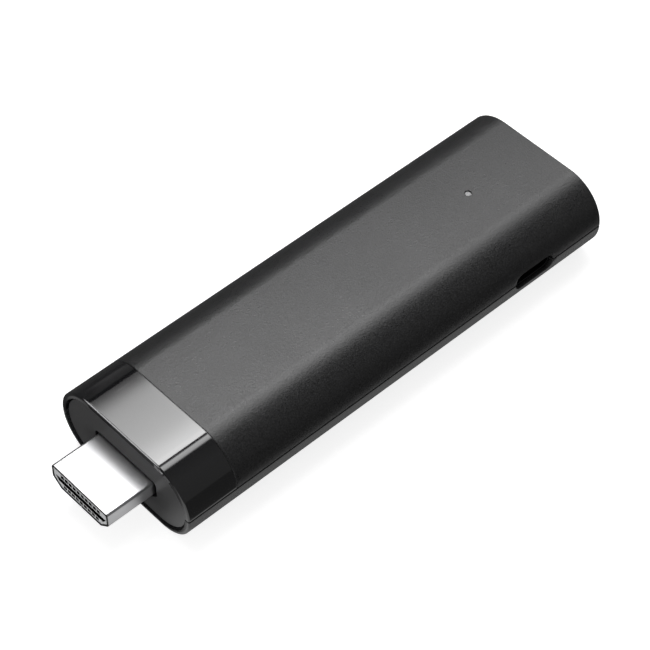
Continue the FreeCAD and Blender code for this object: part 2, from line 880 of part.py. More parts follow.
# Reset button
def reset_button():
    """Recessed button with a flange that stops on the wall and a stem to the switch."""
    points, radius = pill(button_x, seam_height, button_width, button_height)
    face = half_width - button_setback
    cap = along_y(points, flange_outer - button_flange_thickness, face, radius)
    points, radius = pill(button_x, seam_height, button_width - 2*button_dish_margin,
                          button_height - 2*button_dish_margin)
    dish = along_y(points, face - button_dish_depth, face + overshoot, radius)
    rim = rectangle(button_x, seam_height, button_flange_width, button_flange_height)
    flange = along_y(clipped(rim, button_flange_corner), flange_outer - button_flange_thickness,
                     flange_outer)
    stem = along_y(rectangle(button_x, switch_z, button_stem_width, button_stem_height),
                   stem_end, flange_outer)
    return cap.fuse([flange, stem]).cut(dish)


def switch_plunger():
    """Plunger of the side-push switch, in touch with the button's stem."""
    points = rectangle(button_x, switch_z, switch_plunger_width, switch_plunger_height)
    return along_y(clipped(points, switch_plunger_corner), switch_front - switch_plunger_root,
                   stem_end)


def switch_body():
    """Body of the side-push switch with a blind hole for its plunger."""
    body = block(button_x - switch_width/2, button_x + switch_width/2,
                 switch_front - switch_depth, switch_front, board_top, board_top + switch_height)
    c = switch_clearance
    hole = along_y(rectangle(button_x, switch_z, switch_plunger_width + 2*c,
                             switch_plunger_height + 2*c),
                   switch_front - switch_plunger_root - button_travel - switch_hole_spare,
                   switch_front + overshoot)
    upright = [e for e in body.Edges if e.BoundBox.ZLength > switch_height/2]
    return body.makeChamfer(switch_corner, upright).cut(hole)


# Electronics on the board
def chip(x, y, length, width, height, way=1):
    """Moulded package on a thin substrate, standing on the top or hanging under the board."""
    level = board_top if way > 0 else board_bottom
    levels = [level, level + way*package_base, level + way*height]
    base = along_z(rectangle(x, y, length, width), min(levels[:2]), max(levels[:2]))
    mould = along_z(clipped(rectangle(x, y, length - 2*package_step, width - 2*package_step),
                            package_step), min(levels[1:]), max(levels[1:]))
    return base.fuse(mould)


def processor():
    """Main chip under the shield."""
    return chip(processor_x, 0, processor_size, processor_size, processor_height)


def memory_chips():
    """Two memory chips beside the main chip."""
    return [chip(memory_x + i*memory_pitch, 0, memory_length, memory_width, memory_height)
            for i in range(2)]


def flash_chip():
    """Storage chip under the board."""
    return chip(lower_shield_x, 0, flash_length, flash_width, flash_height, -1)


def power_chip():
    """Power management chip on the port side."""
    return chip(middle_x, power_y, power_size, power_size, power_height)


def power_inductors():
    """Square moulded inductors under the board beside the power chip."""
    return [along_z(clipped(rectangle(middle_x + side*inductor_pitch/2, inductor_offset, inductor_size,
                                      inductor_size), inductor_corner),
                    board_bottom - inductor_height, board_bottom) for side in (-1, 1)]


def crystal():
    """Clock crystal: ceramic base with a metal lid."""
    step = board_top + crystal_height/2
    base = along_z(rectangle(middle_x, crystal_y, crystal_length, crystal_width), board_top, step)
    rim = rectangle(middle_x, crystal_y, crystal_length - 2*crystal_lid_step,
                    crystal_width - 2*crystal_lid_step)
    return base.fuse(along_z(clipped(rim, crystal_corner), step, board_top + crystal_height))


def hdmi_filters():
    """Surge filters between the plug's contacts and the main chip."""
    filters = []
    for i in range(filter_count):
        y = (i - (filter_count - 1)/2)*filter_pitch
        body = along_z(rectangle(front_x + filter_station, y, filter_length, filter_width),
                       board_top, board_top + filter_height)
        top = [e for e in body.Edges if e.BoundBox.ZMin > board_top + filter_height - tiny]
        filters.append(body.makeChamfer(filter_chamfer, top))
    return filters


def capacitors():
    """Rows of ceramic capacitors, each a body with raised end caps."""
    spots = []
    for i in range(capacitor_row):
        step = (i - (capacitor_row - 1)/2)*capacitor_pitch
        spots.append((capacitor_x, capacitor_y + step, 1))
        spots.append((middle_x, step, -1))
    pieces = []
    for x, y, way in spots:
        level = board_top if way > 0 else board_bottom
        far = level + way*capacitor_height
        rim = level + way*(capacitor_height - capacitor_skin)
        half = capacitor_width/2 - capacitor_skin
        middle = block(x - capacitor_length/2 + capacitor_skin, x + capacitor_length/2 - capacitor_skin,
                       y - half, y + half, min(level, rim), max(level, rim))
        ends = []
        for side in (-1, 1):
            a = x + side*capacitor_length/2
            b = a - side*capacitor_end
            ends.append(block(min(a, b), max(a, b), y - capacitor_width/2, y + capacitor_width/2,
                              min(level, far), max(level, far)))
        pieces.append(middle.fuse(ends))
    return pieces


def shield_outline(grow):
    """Outline of the fence with its corners cut, grown on every side."""
    return inset(clipped(rectangle(shield_x, 0, shield_length, shield_width), shield_corner), -grow)


def shield_frame():
    """Soldered fence round the main chip and memory, with a flange turned in at the top."""
    s = shield_sheet
    top = board_top + shield_height
    outer = along_z(shield_outline(0), board_top, top)
    room = along_z(shield_outline(-s), board_top - overshoot, top - s)
    window = along_z(shield_outline(-shield_flange), top - overshoot, top + overshoot)
    return outer.cut([room, window])


def shield_lid():
    """Lid that clips over the fence, with two rows of eight-sided vent holes beside the memory."""
    bottom = lid_top - shield_skirt
    outer = along_z(shield_outline(shield_gap + shield_sheet), bottom, lid_top)
    room = along_z(shield_outline(shield_gap), bottom - overshoot, lid_top - shield_sheet)
    first = memory_x + memory_pitch/2 - (shield_hole_count - 1)/2*shield_hole_pitch
    holes = []
    for i in range(shield_hole_count):
        for y in (-(memory_width + shield_hole_width)/2, (memory_width + shield_hole_width)/2):
            hole = rectangle(first + i*shield_hole_pitch, y, shield_hole_width, shield_hole_width)
            holes.append(along_z(clipped(hole, shield_hole_width/4), bottom - overshoot,
                                 lid_top + overshoot))
    return outer.cut([room, *holes])


def chip_pad():
    """Soft pad between the main chip and the lid."""
    size = processor_size - 2*package_step
    return along_z(clipped(rectangle(processor_x, 0, size, size), pad_corner),
                   board_top + processor_height, lid_top - shield_sheet)


def thermal_pad_upper():
    """Soft pad between the lid and the heat sink, over the main chip."""
    return along_z(clipped(rectangle(processor_x, 0, processor_size, processor_size), pad_corner),
                   lid_top, sink_bottom)


def heat_sink():
    """Aluminium plate with low fins along the stick, under the roof."""
    step = (heat_sink_width - heat_sink_fin)/(heat_sink_fins - 1)
    base_top = sink_bottom + heat_sink_base
    left = -heat_sink_width/2
    points = [(left, sink_bottom), (-left, sink_bottom)]
    for i in reversed(range(heat_sink_fins)):
        a = left + i*step
        points += [(a + heat_sink_fin, sink_top - fit), (a, sink_top - fit)]
        if i:
            points += [(a, base_top), (a - step + heat_sink_fin, base_top)]
    reach = shield_length/2 + heat_sink_overhang
    return along_x(points, shield_x - reach, shield_x + reach)


def lower_shield():
    """One-piece can under the board over the storage chip."""
    s = shield_sheet
    bottom = board_bottom - lower_shield_height
    rim = clipped(rectangle(lower_shield_x, 0, lower_shield_length, lower_shield_width), shield_corner)
    outer = along_z(rim, bottom, board_bottom)
    return outer.cut(along_z(inset(rim, s), bottom + s, board_bottom + overshoot))


def heat_plate():
    """Flat aluminium plate on the floor of the cover."""
    rim = rectangle(lower_shield_x, 0, heat_plate_length, heat_plate_width)
    return along_z(clipped(rim, heat_plate_corner), floor_wall, floor_wall + heat_plate_thickness)


def thermal_pad_lower():
    """Thick soft pad between the floor plate and the lower can."""
    return along_z(clipped(rectangle(lower_shield_x, 0, flash_length, flash_width), pad_corner),
                   floor_wall + heat_plate_thickness, board_bottom - lower_shield_height)


def wireless_module():
    """Radio module: its own small board with a low metal can."""
    step = board_top + module_board
    base = along_z(rectangle(module_x, 0, module_length, module_width), board_top, step)
    rim = rectangle(module_x, 0, module_length - 2*module_margin, module_width - 2*module_margin)
    return base.fuse(along_z(clipped(rim, module_margin), step, board_top + module_height))


def antenna(way):
    """Stamped antenna at the far end: slotted upright plate, two feet and an arm folded inwards."""
    x0 = rear_x - antenna_rear_distance - antenna_length/2
    x1 = x0 + antenna_length
    y0 = board_half - antenna_margin
    top = board_top + antenna_height
    fold = ribbon([(y0, board_top + antenna_foot/2), (y0, top), (y0 - antenna_arm, top)], antenna_sheet)
    plate = along_x(fold, x0, x1)
    feet = [block(x, x + antenna_foot, y0 - antenna_sheet/2, y0 + antenna_sheet/2, board_top,
                  board_top + antenna_foot) for x in (x0, x0 + 2*antenna_foot)]
    slots = []
    for i in range(antenna_slot_count):
        x = x0 + antenna_slot_start + i*antenna_slot_pitch
        low, high = ((0, antenna_slot), (antenna_foot, 0))[i % 2]
        slots.append(block(x, x + antenna_slot, y0 - antenna_sheet, y0 + antenna_sheet,
                           board_top + low, top - high))
    shape = plate.fuse(feet).cut(slots)
    return shape if way > 0 else shape.mirror(V(0, 0, 0), V(0, 1, 0))


def antenna_left():
    """Antenna on the button side."""
    return antenna(1)


def antenna_right():
    """Antenna on the port side."""
    return antenna(-1)


# Every piece with its own node
PIECES = (
    upper_housing, lower_cover, front_cap, hdmi_shell, hdmi_insulator, hdmi_contacts_upper,
    hdmi_contacts_lower, main_board, board_screws, usb_shell, usb_insulator, usb_contacts,
    light_guide, status_led, reset_button, switch_plunger, switch_body, processor, memory_chips,
    flash_chip, power_chip, power_inductors, crystal, hdmi_filters, capacitors, shield_frame,
    shield_lid, chip_pad, thermal_pad_upper, heat_sink, lower_shield, heat_plate,
    thermal_pad_lower, wireless_module, antenna_left, antenna_right)


def main():
    """Build each piece and write it as its own file."""
    os.makedirs("parts", exist_ok=True)
    for piece in PIECES:
        shape = piece()
        if isinstance(shape, list):
            shape = Part.makeCompound(shape)
        shape = shape.removeSplitter()
        solids = shape.Solids
        print(piece.__name__, len(solids), "solids", round(shape.Volume, 2), "mm3", shape.isValid())
        shape.exportStep(os.path.join("parts", piece.__name__ + ".step"))


main()
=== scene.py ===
# Streaming stick: two-part casing, front cap, plug, port, status light and reset button
import math
import bmesh
import bpy
from bpy.props import FloatProperty, FloatVectorProperty, IntProperty, PointerProperty
from mathutils import Matrix, Vector


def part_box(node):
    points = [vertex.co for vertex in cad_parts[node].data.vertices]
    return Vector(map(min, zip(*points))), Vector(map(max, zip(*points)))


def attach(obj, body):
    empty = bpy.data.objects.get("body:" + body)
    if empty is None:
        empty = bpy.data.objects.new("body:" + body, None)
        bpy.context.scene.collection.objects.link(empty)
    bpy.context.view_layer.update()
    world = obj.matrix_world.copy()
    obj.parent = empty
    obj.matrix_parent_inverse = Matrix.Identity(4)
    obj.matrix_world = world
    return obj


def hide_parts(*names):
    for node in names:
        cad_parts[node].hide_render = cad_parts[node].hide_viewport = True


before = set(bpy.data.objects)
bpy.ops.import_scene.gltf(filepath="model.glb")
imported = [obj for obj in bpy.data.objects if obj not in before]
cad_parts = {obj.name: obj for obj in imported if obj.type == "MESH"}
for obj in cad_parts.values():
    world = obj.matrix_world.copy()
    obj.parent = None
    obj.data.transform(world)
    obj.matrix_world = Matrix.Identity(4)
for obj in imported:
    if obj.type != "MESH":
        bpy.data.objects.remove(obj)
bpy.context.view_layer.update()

bl_info = {
    "name": "Streaming stick",
    "version": (1, 0, 0),
    "blender": (4, 5, 0),
    "location": "View3D > Sidebar > Stick",
    "description": "Builds the pieces, finishes and stage of a streaming stick",
    "category": "Object",
}

MM = 0.001

# Places and outer sizes that come from the frame
UPPER_LOW, UPPER_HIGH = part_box("upper_housing")
PLUG_LOW, PLUG_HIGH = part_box("hdmi_shell")
PORT_LOW, PORT_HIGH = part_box("usb_shell")
LIGHT_LOW, LIGHT_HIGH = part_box("light_guide")
BUTTON_LOW, BUTTON_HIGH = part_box("reset_button")
BOARD_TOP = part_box("main_board")[1].z
FRONT_X = UPPER_LOW.x
REAR_X = UPPER_HIGH.x
HALF_WIDTH = UPPER_HIGH.y
SEAM_Z = (PORT_LOW.z + PORT_HIGH.z)/2
TOP_Z = UPPER_HIGH.z
FLOOR_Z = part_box("lower_cover")[0].z
PORT_X = (PORT_LOW.x + PORT_HIGH.x)/2
LIGHT_X = (LIGHT_LOW.x + LIGHT_HIGH.x)/2
BUTTON_X = (BUTTON_LOW.x + BUTTON_HIGH.x)/2


def size(name, default, description):
    """A length that a user may change."""
    return FloatProperty(name=name, description=description, default=default, unit="LENGTH",
                         precision=5)


def count(name, default, description):
    """A number of pieces or steps that a user may change."""
    return IntProperty(name=name, description=description, default=default, min=1)


def share(name, default, description):
    """A value from 0 to 1 that a user may change."""
    return FloatProperty(name=name, description=description, default=default, min=0.0, max=1.0,
                         subtype="FACTOR")


def angle(name, default, description):
    """An angle in degrees that a user may change."""
    return FloatProperty(name=name, description=description, default=default)


def brightness(name, default, description):
    """The strength of a light that a user may change."""
    return FloatProperty(name=name, description=description, default=default, min=0.0)


def vector(name, default, description, subtype="XYZ"):
    """A place or a direction that a user may change."""
    return FloatVectorProperty(name=name, description=description, default=default, size=3,
                               subtype=subtype)


def colour(name, default, description):
    """A surface colour that a user may change."""
    return FloatVectorProperty(name=name, description=description, default=default, size=3, min=0.0,
                               max=1.0, subtype="COLOR")


class CasingSizes(bpy.types.PropertyGroup):
    """Sizes of the two halves of the casing."""
    side_wall: size("Side wall", 1.35*MM, "Thickness of the long side walls")
    top_wall: size("Top wall", 1.4*MM, "Thickness of the roof and the floor")
    end_wall: size("End wall", 1.6*MM, "Thickness of the far end")
    end_round: size("End rounding", 0.3*MM, "Radius along the edges of both ends")
    edge_round: size("Edge rounding", 0.07*MM, "Radius of the seam, rim and hole edges")
    rim_side: size("Rim side wall", 1.0*MM, "Wall beside the front cap")
    rim_top: size("Rim top wall", 1.15*MM, "Wall above the front cap")
    rim_floor: size("Rim floor wall", 0.65*MM, "Wall below the front cap")
    rim_depth: size("Rim depth", 2.1*MM, "How far the recess of the front cap goes in")
    seam_gap: size("Seam gap", 0.15*MM, "Open gap of each half at the seam")
    seam_shelf: size("Seam shelf", 0.4*MM, "How deep the seam's open gap goes")
    lip_height: size("Lip height", 0.4*MM, "How far the inner lip reaches into its half")
    band_length: size("Polished length", 9.9*MM, "Length of the polished band at the plug end")
    groove_width: size("Groove width", 0.22*MM, "Width of the groove behind the polished band")
    groove_depth: size("Groove depth", 0.1*MM, "Depth of the groove behind the polished band")
    arc_steps: count("Arc steps", 44, "Steps of each rounded long side")
    long_steps: count("Long steps", 24, "Steps along the stick")
    port_width: size("Port width", 8.74*MM, "Width of the port's shell")
    port_wall: size("Port wall", 0.2*MM, "Thickness of the port's shell")
    port_side: size("Port side clearance", 0.26*MM, "Room beside the port's shell")
    port_top: size("Port top clearance", 0.1*MM, "Room above and below the port's shell")
    light_radius: size("Light hole radius", 0.65*MM, "Radius of the hole for the status light")


class CapSizes(bpy.types.PropertyGroup):
    """Sizes of the front cap."""
    gap: size("Gap", 0.3*MM, "Gap between the cap and the rim")
    setback: size("Setback", 0.3*MM, "How far the cap lies behind the rim")
    thickness: size("Thickness", 1.8*MM, "Thickness of the cap")
    edge: size("Edge rounding", 0.15*MM, "Radius of the cap's edges")
    hole_top: size("Hole top room", 0.35*MM, "Room above and below the plug")
    hole_side: size("Hole side room", 0.6*MM, "Room beside the plug")
    hole_round: size("Hole rounding", 0.8*MM, "Corner radius of the plug's hole")


class PlugSizes(bpy.types.PropertyGroup):
    """Sizes of the plug."""
    side_height: size("Side height", 2.8*MM, "Height of the plug's upright sides")
    foot_width: size("Foot width", 10.0*MM, "Width of the plug's underside")
    wall: size("Wall", 0.3*MM, "Thickness of the folded sheet")
    round: size("Corner radius", 0.5*MM, "Radius of the folded corners")
    slit: size("Slit", 0.1*MM, "Gap where the sheet's ends meet below")
    inside_length: size("Inside length", 5.0*MM, "Length of the shell inside the casing")
    lip: size("Lip rounding", 0.11*MM, "Radius of the shell's open edge")
    face_recess: size("Face recess", 0.15*MM, "How far the block's face lies behind the lip")
    slot_top: size("Slot top", 1.95*MM, "From the plug's top down to the socket tongue's slot")
    slot_height: size("Slot height", 1.05*MM, "Height of the slot for the socket's tongue")
    slot_width: size("Slot width", 12.6*MM, "Width of the slot at its top")
    slot_taper: size("Slot taper", 0.8*MM, "How much narrower the slot is below on each side")
    slot_depth: size("Slot depth", 6.0*MM, "Depth of the slot")
    channel_width: size("Channel width", 0.78*MM, "Width of a contact's channel")
    upper_channel: size("Upper channels", 0.95*MM, "From the plug's top down to the upper channels")
    lower_channel: size("Lower channels", 3.2*MM, "From the plug's top down to the lower channels")
    upper_height: size("Upper channel height", 0.8*MM, "Height of an upper channel")
    lower_height: size("Lower channel height", 0.68*MM, "Height of a lower channel")


class RowSizes(bpy.types.PropertyGroup):
    """Sizes of the pieces that stand in rows."""
    upper_contacts: count("Upper contacts", 10, "Contacts in the plug's upper row")
    lower_contacts: count("Lower contacts", 9, "Contacts in the plug's lower row")
    contact_pitch: size("Contact pitch", 1.0*MM, "Distance between the plug's contacts")
    contact_width: size("Contact width", 0.3*MM, "Width of one of the plug's contacts")
    contact_sheet: size("Contact sheet", 0.14*MM, "Thickness of one of the plug's contacts")
    contact_tail: size("Contact tail", 1.6*MM, "Length of a contact's soldered tail")
    port_contacts: count("Port contacts", 12, "Contacts in each row of the port")
    port_pitch: size("Port pitch", 0.5*MM, "Distance between the port's contacts")
    port_pad: size("Port pad", 0.26*MM, "Width of one of the port's contacts")
    port_pad_length: size("Port pad length", 3.4*MM, "Length of a contact on the tongue")
    port_tongue: size("Port tongue", 0.7*MM, "Thickness of the port's tongue")
    port_tail: size("Port tail", 0.9*MM, "Length of a soldered tail of the port")
    capacitors: count("Capacitors", 6, "Capacitors in each row")
    capacitor_pitch: size("Capacitor pitch", 1.7*MM, "Distance between capacitors")
    capacitor_width: size("Capacitor width", 0.8*MM, "Width and height of a capacitor")
    capacitor_length: size("Capacitor length", 1.6*MM, "Length of a capacitor")


class ButtonSizes(bpy.types.PropertyGroup):
    """Sizes of the reset button."""
    width: size("Width", 4.0*MM, "Width of the button's face")
    height: size("Height", 1.6*MM, "Height of the button's face")
    room: size("Clearance", 0.1*MM, "Room round the button in its hole")
    edge: size("Edge rounding", 0.16*MM, "Radius of the button's outer edge")
    dish: size("Dish depth", 0.12*MM, "Depth of the finger dish")
    flange_height: size("Flange height", 2.8*MM, "Height of the flange inside the wall")
    flange: size("Flange thickness", 0.6*MM, "Thickness of the flange")
    stem_width: size("Stem width", 1.8*MM, "Width of the stem that presses the switch")
    stem_height: size("Stem height", 1.0*MM, "Height of the stem")
    stem_length: size("Stem length", 0.3*MM, "Length of the stem")


class Finishes(bpy.types.PropertyGroup):
    """Colours and gloss of the surfaces."""
    casing: colour("Casing", (0.013, 0.013, 0.0135), "Matte surface of the upper half")
    band: colour("Polished band", (0.006, 0.006, 0.0065), "Polished band at the plug end")
    cover: colour("Cover", (0.035, 0.035, 0.036), "Lower half of the casing")
    # Painted highlight: a light colour put on the band's front edge in place of the light that edge catches
    edge: colour("Band front edge", (0.6, 0.6, 0.61), "Band's front edge where it catches the light")
    cap: colour("Cap", (0.036, 0.036, 0.0365), "Front cap round the plug")
    plug: colour("Plug", (0.62, 0.62, 0.63), "Plated sheet of the plug")
    insulator: colour("Insulator", (0.44, 0.445, 0.45), "Plastic block in the plug")
    port: colour("Port", (0.07, 0.07, 0.074), "Dark plated shell of the port")
    button: colour("Button", (0.03, 0.03, 0.032), "Reset button")
    window: colour("Window", (0.23, 0.23, 0.233), "Milky window of the status light")
    window_haze: colour("Window haze", (0.32, 0.32, 0.324), "Lighter clouds in the window")
    casing_roughness: share("Casing roughness", 0.39, "Roughness of the matte surface")
    band_roughness: share("Band roughness", 0.07, "Roughness of the polished band")


class StageSizes(bpy.types.PropertyGroup):
    """Camera, lights and floor."""
    camera_place: vector("Camera place", (-0.170313, -0.184554, 0.298705), "Where the camera stands",
                         "TRANSLATION")
    camera_way: vector("Camera direction", (0.444756, 0.479071, -0.756758), "Where the camera looks")
    camera_right: vector("Camera right", (0.733944, -0.679209, 0.001369), "The picture's way to the right")
    lens: FloatProperty(name="Lens", description="Focal length in millimetres", default=127.18,
                        subtype="DISTANCE_CAMERA")
    floor_size: size("Floor size", 3.0, "Side of the square floor")
    card_height: size("Card height", 0.12, "Height of the bright cards above the stick")
    card_start: size("Card start", -0.065, "Where the cards begin along the stick")
    card_split: size("Card split", 0.0285, "Where the band's cards end and the matte part's begins")
    card_end: size("Card end", 0.24, "Where the cards end along the stick")
    card_fade: size("Card fade", 0.025, "Length over which the band's card grows bright")
    far_from: angle("Far strip from", 5.0, "Where the faint strip on the far round begins")
    far_to: angle("Far strip to", 23.0, "Where the faint strip on the far round ends")
    far_width: size("Far strip width", 0.016, "Size along X of the far strip's card")
    far_strength: brightness("Far strip strength", 0.25, "Brightness of the far strip")
    card_strength: brightness("Card strength", 7.6, "Brightness of the cards above the stick")
    card_left: angle("Card left", 6.0, "Degrees past the flat where the far side stops showing the card")
    card_right: angle("Card right", 7.0, "Degrees past the flat where the near side stops showing it")
    strip_from: angle("Strip from", 9.3, "Degrees past the flat where the near side shows the strip")
    strip_to: angle("Strip to", 17.0, "Degrees past the flat where the near side stops showing the strip")
    side_to: angle("Side to", 22.0, "Degrees past the flat where the matte side stops showing a card")
    front_distance: size("Front card distance", 0.2, "How far the front card stands from the stick")
    front_width: size("Front card width", 0.2, "Width of the front card")
    front_low: size("Front card start", 0.004, "How high the front card begins")
    front_high: size("Front card end", 0.048, "How high the front card ends")
    front_strength: brightness("Front card strength", 12.0, "Brightness of the front card")


GROUPS = {
    "stick_casing": CasingSizes,
    "stick_cap": CapSizes,
    "stick_plug": PlugSizes,
    "stick_rows": RowSizes,
    "stick_button": ButtonSizes,
    "stick_finish": Finishes,
    "stick_stage": StageSizes,
}


# Mesh helpers
def arc(cu, cv, radius, start, end, steps):
    """Points of a round stretch between two angles in degrees."""
    angles = [math.radians(start + (end - start)*i/steps) for i in range(steps + 1)]
    return [(cu + radius*math.cos(a), cv + radius*math.sin(a)) for a in angles]


def eased(t):
    """Smooth rise from 0 to 1."""
    return (1 - math.cos(math.pi*t))/2


def rounded(points, radius, steps=8):
    """Outline with every corner rounded by one radius."""
    result = []
    for i, corner in enumerate(points):
        corner = Vector(corner)
        before = (Vector(points[i - 1]) - corner).normalized()
        after = (Vector(points[(i + 1) % len(points)]) - corner).normalized()
        half = before.angle(after)/2
        centre = corner + (before + after).normalized()*radius/math.sin(half)
        start = corner + before*radius/math.tan(half) - centre
        end = corner + after*radius/math.tan(half) - centre
        turn = start.angle_signed(end)
        for k in range(steps + 1):
            result.append(tuple(centre + Matrix.Rotation(-turn*k/steps, 2) @ start))
    return result


def inset(points, distance):
    """Convex anticlockwise outline moved inwards on every side."""
    moved = []
    for i, point in enumerate(points):
        point = Vector(point)
        before = point - Vector(points[i - 1])
        after = Vector(points[(i + 1) % len(points)]) - point
        n1 = Vector((-before.y, before.x)).normalized()
        n2 = Vector((-after.y, after.x)).normalized()
        moved.append(tuple(point + (n1 + n2)*distance/(1 + n1.dot(n2))))
    return moved


def rectangle(u0, u1, v0, v1):
    """Corners of a rectangle, anticlockwise."""
    return [(u0, v0), (u1, v0), (u1, v1), (u0, v1)]


def pill(cu, cv, width, height, steps=16):
    """Outline of a slot with round ends."""
    radius = height/2
    reach = width/2 - radius
    return (arc(cu + reach, cv, radius, -90, 90, steps)
            + arc(cu - reach, cv, radius, 90, 270, steps))


def new_object(name, data):
    """Object at the origin, linked to the scene."""
    thing = bpy.data.objects.new(name, data)
    bpy.context.scene.collection.objects.link(thing)
    return thing


def mesh_object(name, bm):
    """Object from a finished mesh, normals outwards."""
    bmesh.ops.recalc_face_normals(bm, faces=bm.faces)
    mesh = bpy.data.meshes.new(name)
    bm.to_mesh(mesh)
    bm.free()
    mesh.shade_smooth()
    return new_object(name, mesh)


def discard(things):
    """Removes objects with their meshes."""
    for thing in things:
        mesh = thing.data
        bpy.data.objects.remove(thing)
        bpy.data.meshes.remove(mesh)


def loft(bm, rings, closed=True, tube=False):
    """Faces between rings of as many points each. Returns the rows of points.

    A tube's last ring joins its first, and anything else gets a cap on both ends.
    """
    rows = [[bm.verts.new(p) for p in ring] for ring in rings]
    for low, high in zip(rows, rows[1:] + rows[:1] if tube else rows[1:]):
        for k in range(len(low) if closed else len(low) - 1):
            n = (k + 1) % len(low)
            bm.faces.new((low[k], low[n], high[n], high[k]))
    if not tube:
        bm.faces.new(rows[0])
        bm.faces.new(rows[-1])
    return rows


def lofted(name, rings, tube=False):
    """Object whose skin runs over rings of points."""
    bm = bmesh.new()
    loft(bm, rings, tube=tube)
    return mesh_object(name, bm)


def lathe(name, profile, x, y, steps=40):
    """Turned piece about an upright axis; the profile of (radius, height) starts and ends on it."""
    bm = bmesh.new()
    bottom, top = (bm.verts.new((x, y, profile[i][1])) for i in (0, -1))
    turns = [2*math.pi*k/steps for k in range(steps)]
    rows = [[bm.verts.new((x + r*math.cos(a), y + r*math.sin(a), z)) for a in turns]
            for r, z in profile[1:-1]]
    for k in range(steps):
        n = (k + 1) % steps
        bm.faces.new((bottom, rows[0][n], rows[0][k]))
        bm.faces.new((top, rows[-1][k], rows[-1][n]))
        for low, high in zip(rows, rows[1:]):
            bm.faces.new((low[k], low[n], high[n], high[k]))
    return mesh_object(name, bm)


def prism(name, outline, low, high, place):
    """Straight piece from an outline; place(u, v, w) says where a point of it lies."""
    return lofted(name, [[place(u, v, w) for u, v in outline] for w in (low, high)])


def on_x(u, v, w):
    """An outline across the stick, pushed along it."""
    return (w, u, v)


def on_y(u, v, w):
    """An outline seen from the side, pushed across the stick."""
    return (u, w, v)


def on_z(u, v, w):
    """An outline seen from above, pushed upwards."""
    return (u, v, w)


def baked(thing):
    """Turns the modifiers of an object into plain mesh."""
    graph = bpy.context.evaluated_depsgraph_get()
    mesh = bpy.data.meshes.new_from_object(thing.evaluated_get(graph))
    thing.modifiers.clear()
    old = thing.data
    thing.data = mesh
    bpy.data.meshes.remove(old)
    mesh.name = thing.name
    return thing


def combine(thing, others, operation="DIFFERENCE"):
    """Cuts the others from an object, or joins them to it, and removes them."""
    for other in others:
        modifier = thing.modifiers.new("cut", "BOOLEAN")
        modifier.operation = operation
        modifier.solver = "MANIFOLD"
        modifier.object = other
    bpy.context.view_layer.update()
    baked(thing)
    discard(others)
    return thing


def soften(thing, width, segments=3, degrees=35, picked=None):
    """Rounds the sharp edges of a piece, or only those that are picked, and evens out its shading."""
    if picked:
        bm = bmesh.new()
        bm.from_mesh(thing.data)
        bmesh.ops.remove_doubles(bm, verts=bm.verts, dist=width/8)
        weight = bm.edges.layers.float.new("bevel_weight_edge")
        for edge in bm.edges:
            sharp = edge.calc_face_angle(0) > math.radians(degrees)
            edge[weight] = float(sharp and all(picked(vertex.co) for vertex in edge.verts))
        bm.to_mesh(thing.data)
        bm.free()
    bevel = thing.modifiers.new("edges", "BEVEL")
    bevel.width = width
    bevel.segments = segments
    bevel.limit_method = "WEIGHT" if picked else "ANGLE"
    bevel.angle_limit = math.radians(degrees)
    bevel.use_clamp_overlap = False
    even_shading(thing)
    return thing


def even_shading(thing):
    """Lets the large faces set the shading of the small ones beside them."""
    normals = thing.modifiers.new("shading", "WEIGHTED_NORMAL")
    normals.keep_sharp = True
    normals.weight = 80


def put(thing, slot, body, replaced, *materials):
    """Gives a finished piece its materials and body, and hides the nodes that it stands for; the slot is
    not used.
    """
    thing.data.materials.clear()
    for material in materials:
        thing.data.materials.append(material)
    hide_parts(*replaced)
    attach(thing, body)


# Rows of like pieces
def row_tree():
    """Geometry nodes that copy one piece along a line and give the copies a material."""
    tree = bpy.data.node_groups.new("row_of_copies", "GeometryNodeTree")
    for label, kind in (("Piece", "Object"), ("Count", "Int"), ("Start", "Vector"), ("Step", "Vector"),
                        ("Finish", "Material")):
        tree.interface.new_socket(label, in_out="INPUT", socket_type="NodeSocket" + kind)
    tree.interface.new_socket("Copies", in_out="OUTPUT", socket_type="NodeSocketGeometry")
    nodes = Nodes(tree)
    given = nodes.add("NodeGroupInput").outputs
    line = nodes.add("GeometryNodeMeshLine", Count=given["Count"], Start_Location=given["Start"],
                     Offset=given["Step"])
    piece = nodes.add("GeometryNodeObjectInfo", Object=given["Piece"])
    copies = nodes.add("GeometryNodeInstanceOnPoints", Points=line.outputs[0],
                       Instance=piece.outputs["Geometry"])
    real = nodes.add("GeometryNodeRealizeInstances", Geometry=copies.outputs[0])
    finished = nodes.add("GeometryNodeSetMaterial", Geometry=real.outputs[0],
                         Material=given["Finish"])
    nodes.add("NodeGroupOutput", Copies=finished.outputs[0])
    return tree


def rows_of(name, tree, rows, material):
    """One mesh with every row: each is a piece at the origin, a count, a start and a step."""
    made = []
    for k, (piece, number, start, step) in enumerate(rows):
        thing = new_object(f"{name}_{k}", bpy.data.meshes.new(f"{name}_{k}"))
        copies = thing.modifiers.new("copies", "NODES")
        copies.node_group = tree
        values = {"Piece": piece, "Count": number, "Start": start, "Step": step, "Finish": material}
        for socket in tree.interface.items_tree:
            if socket.name in values:
                copies[socket.identifier] = values[socket.name]
        made.append(baked(thing))
    bm = bmesh.new()
    for thing in made:
        bm.from_mesh(thing.data)
    discard({*made, *(row[0] for row in rows)})
    return mesh_object(name, bm)


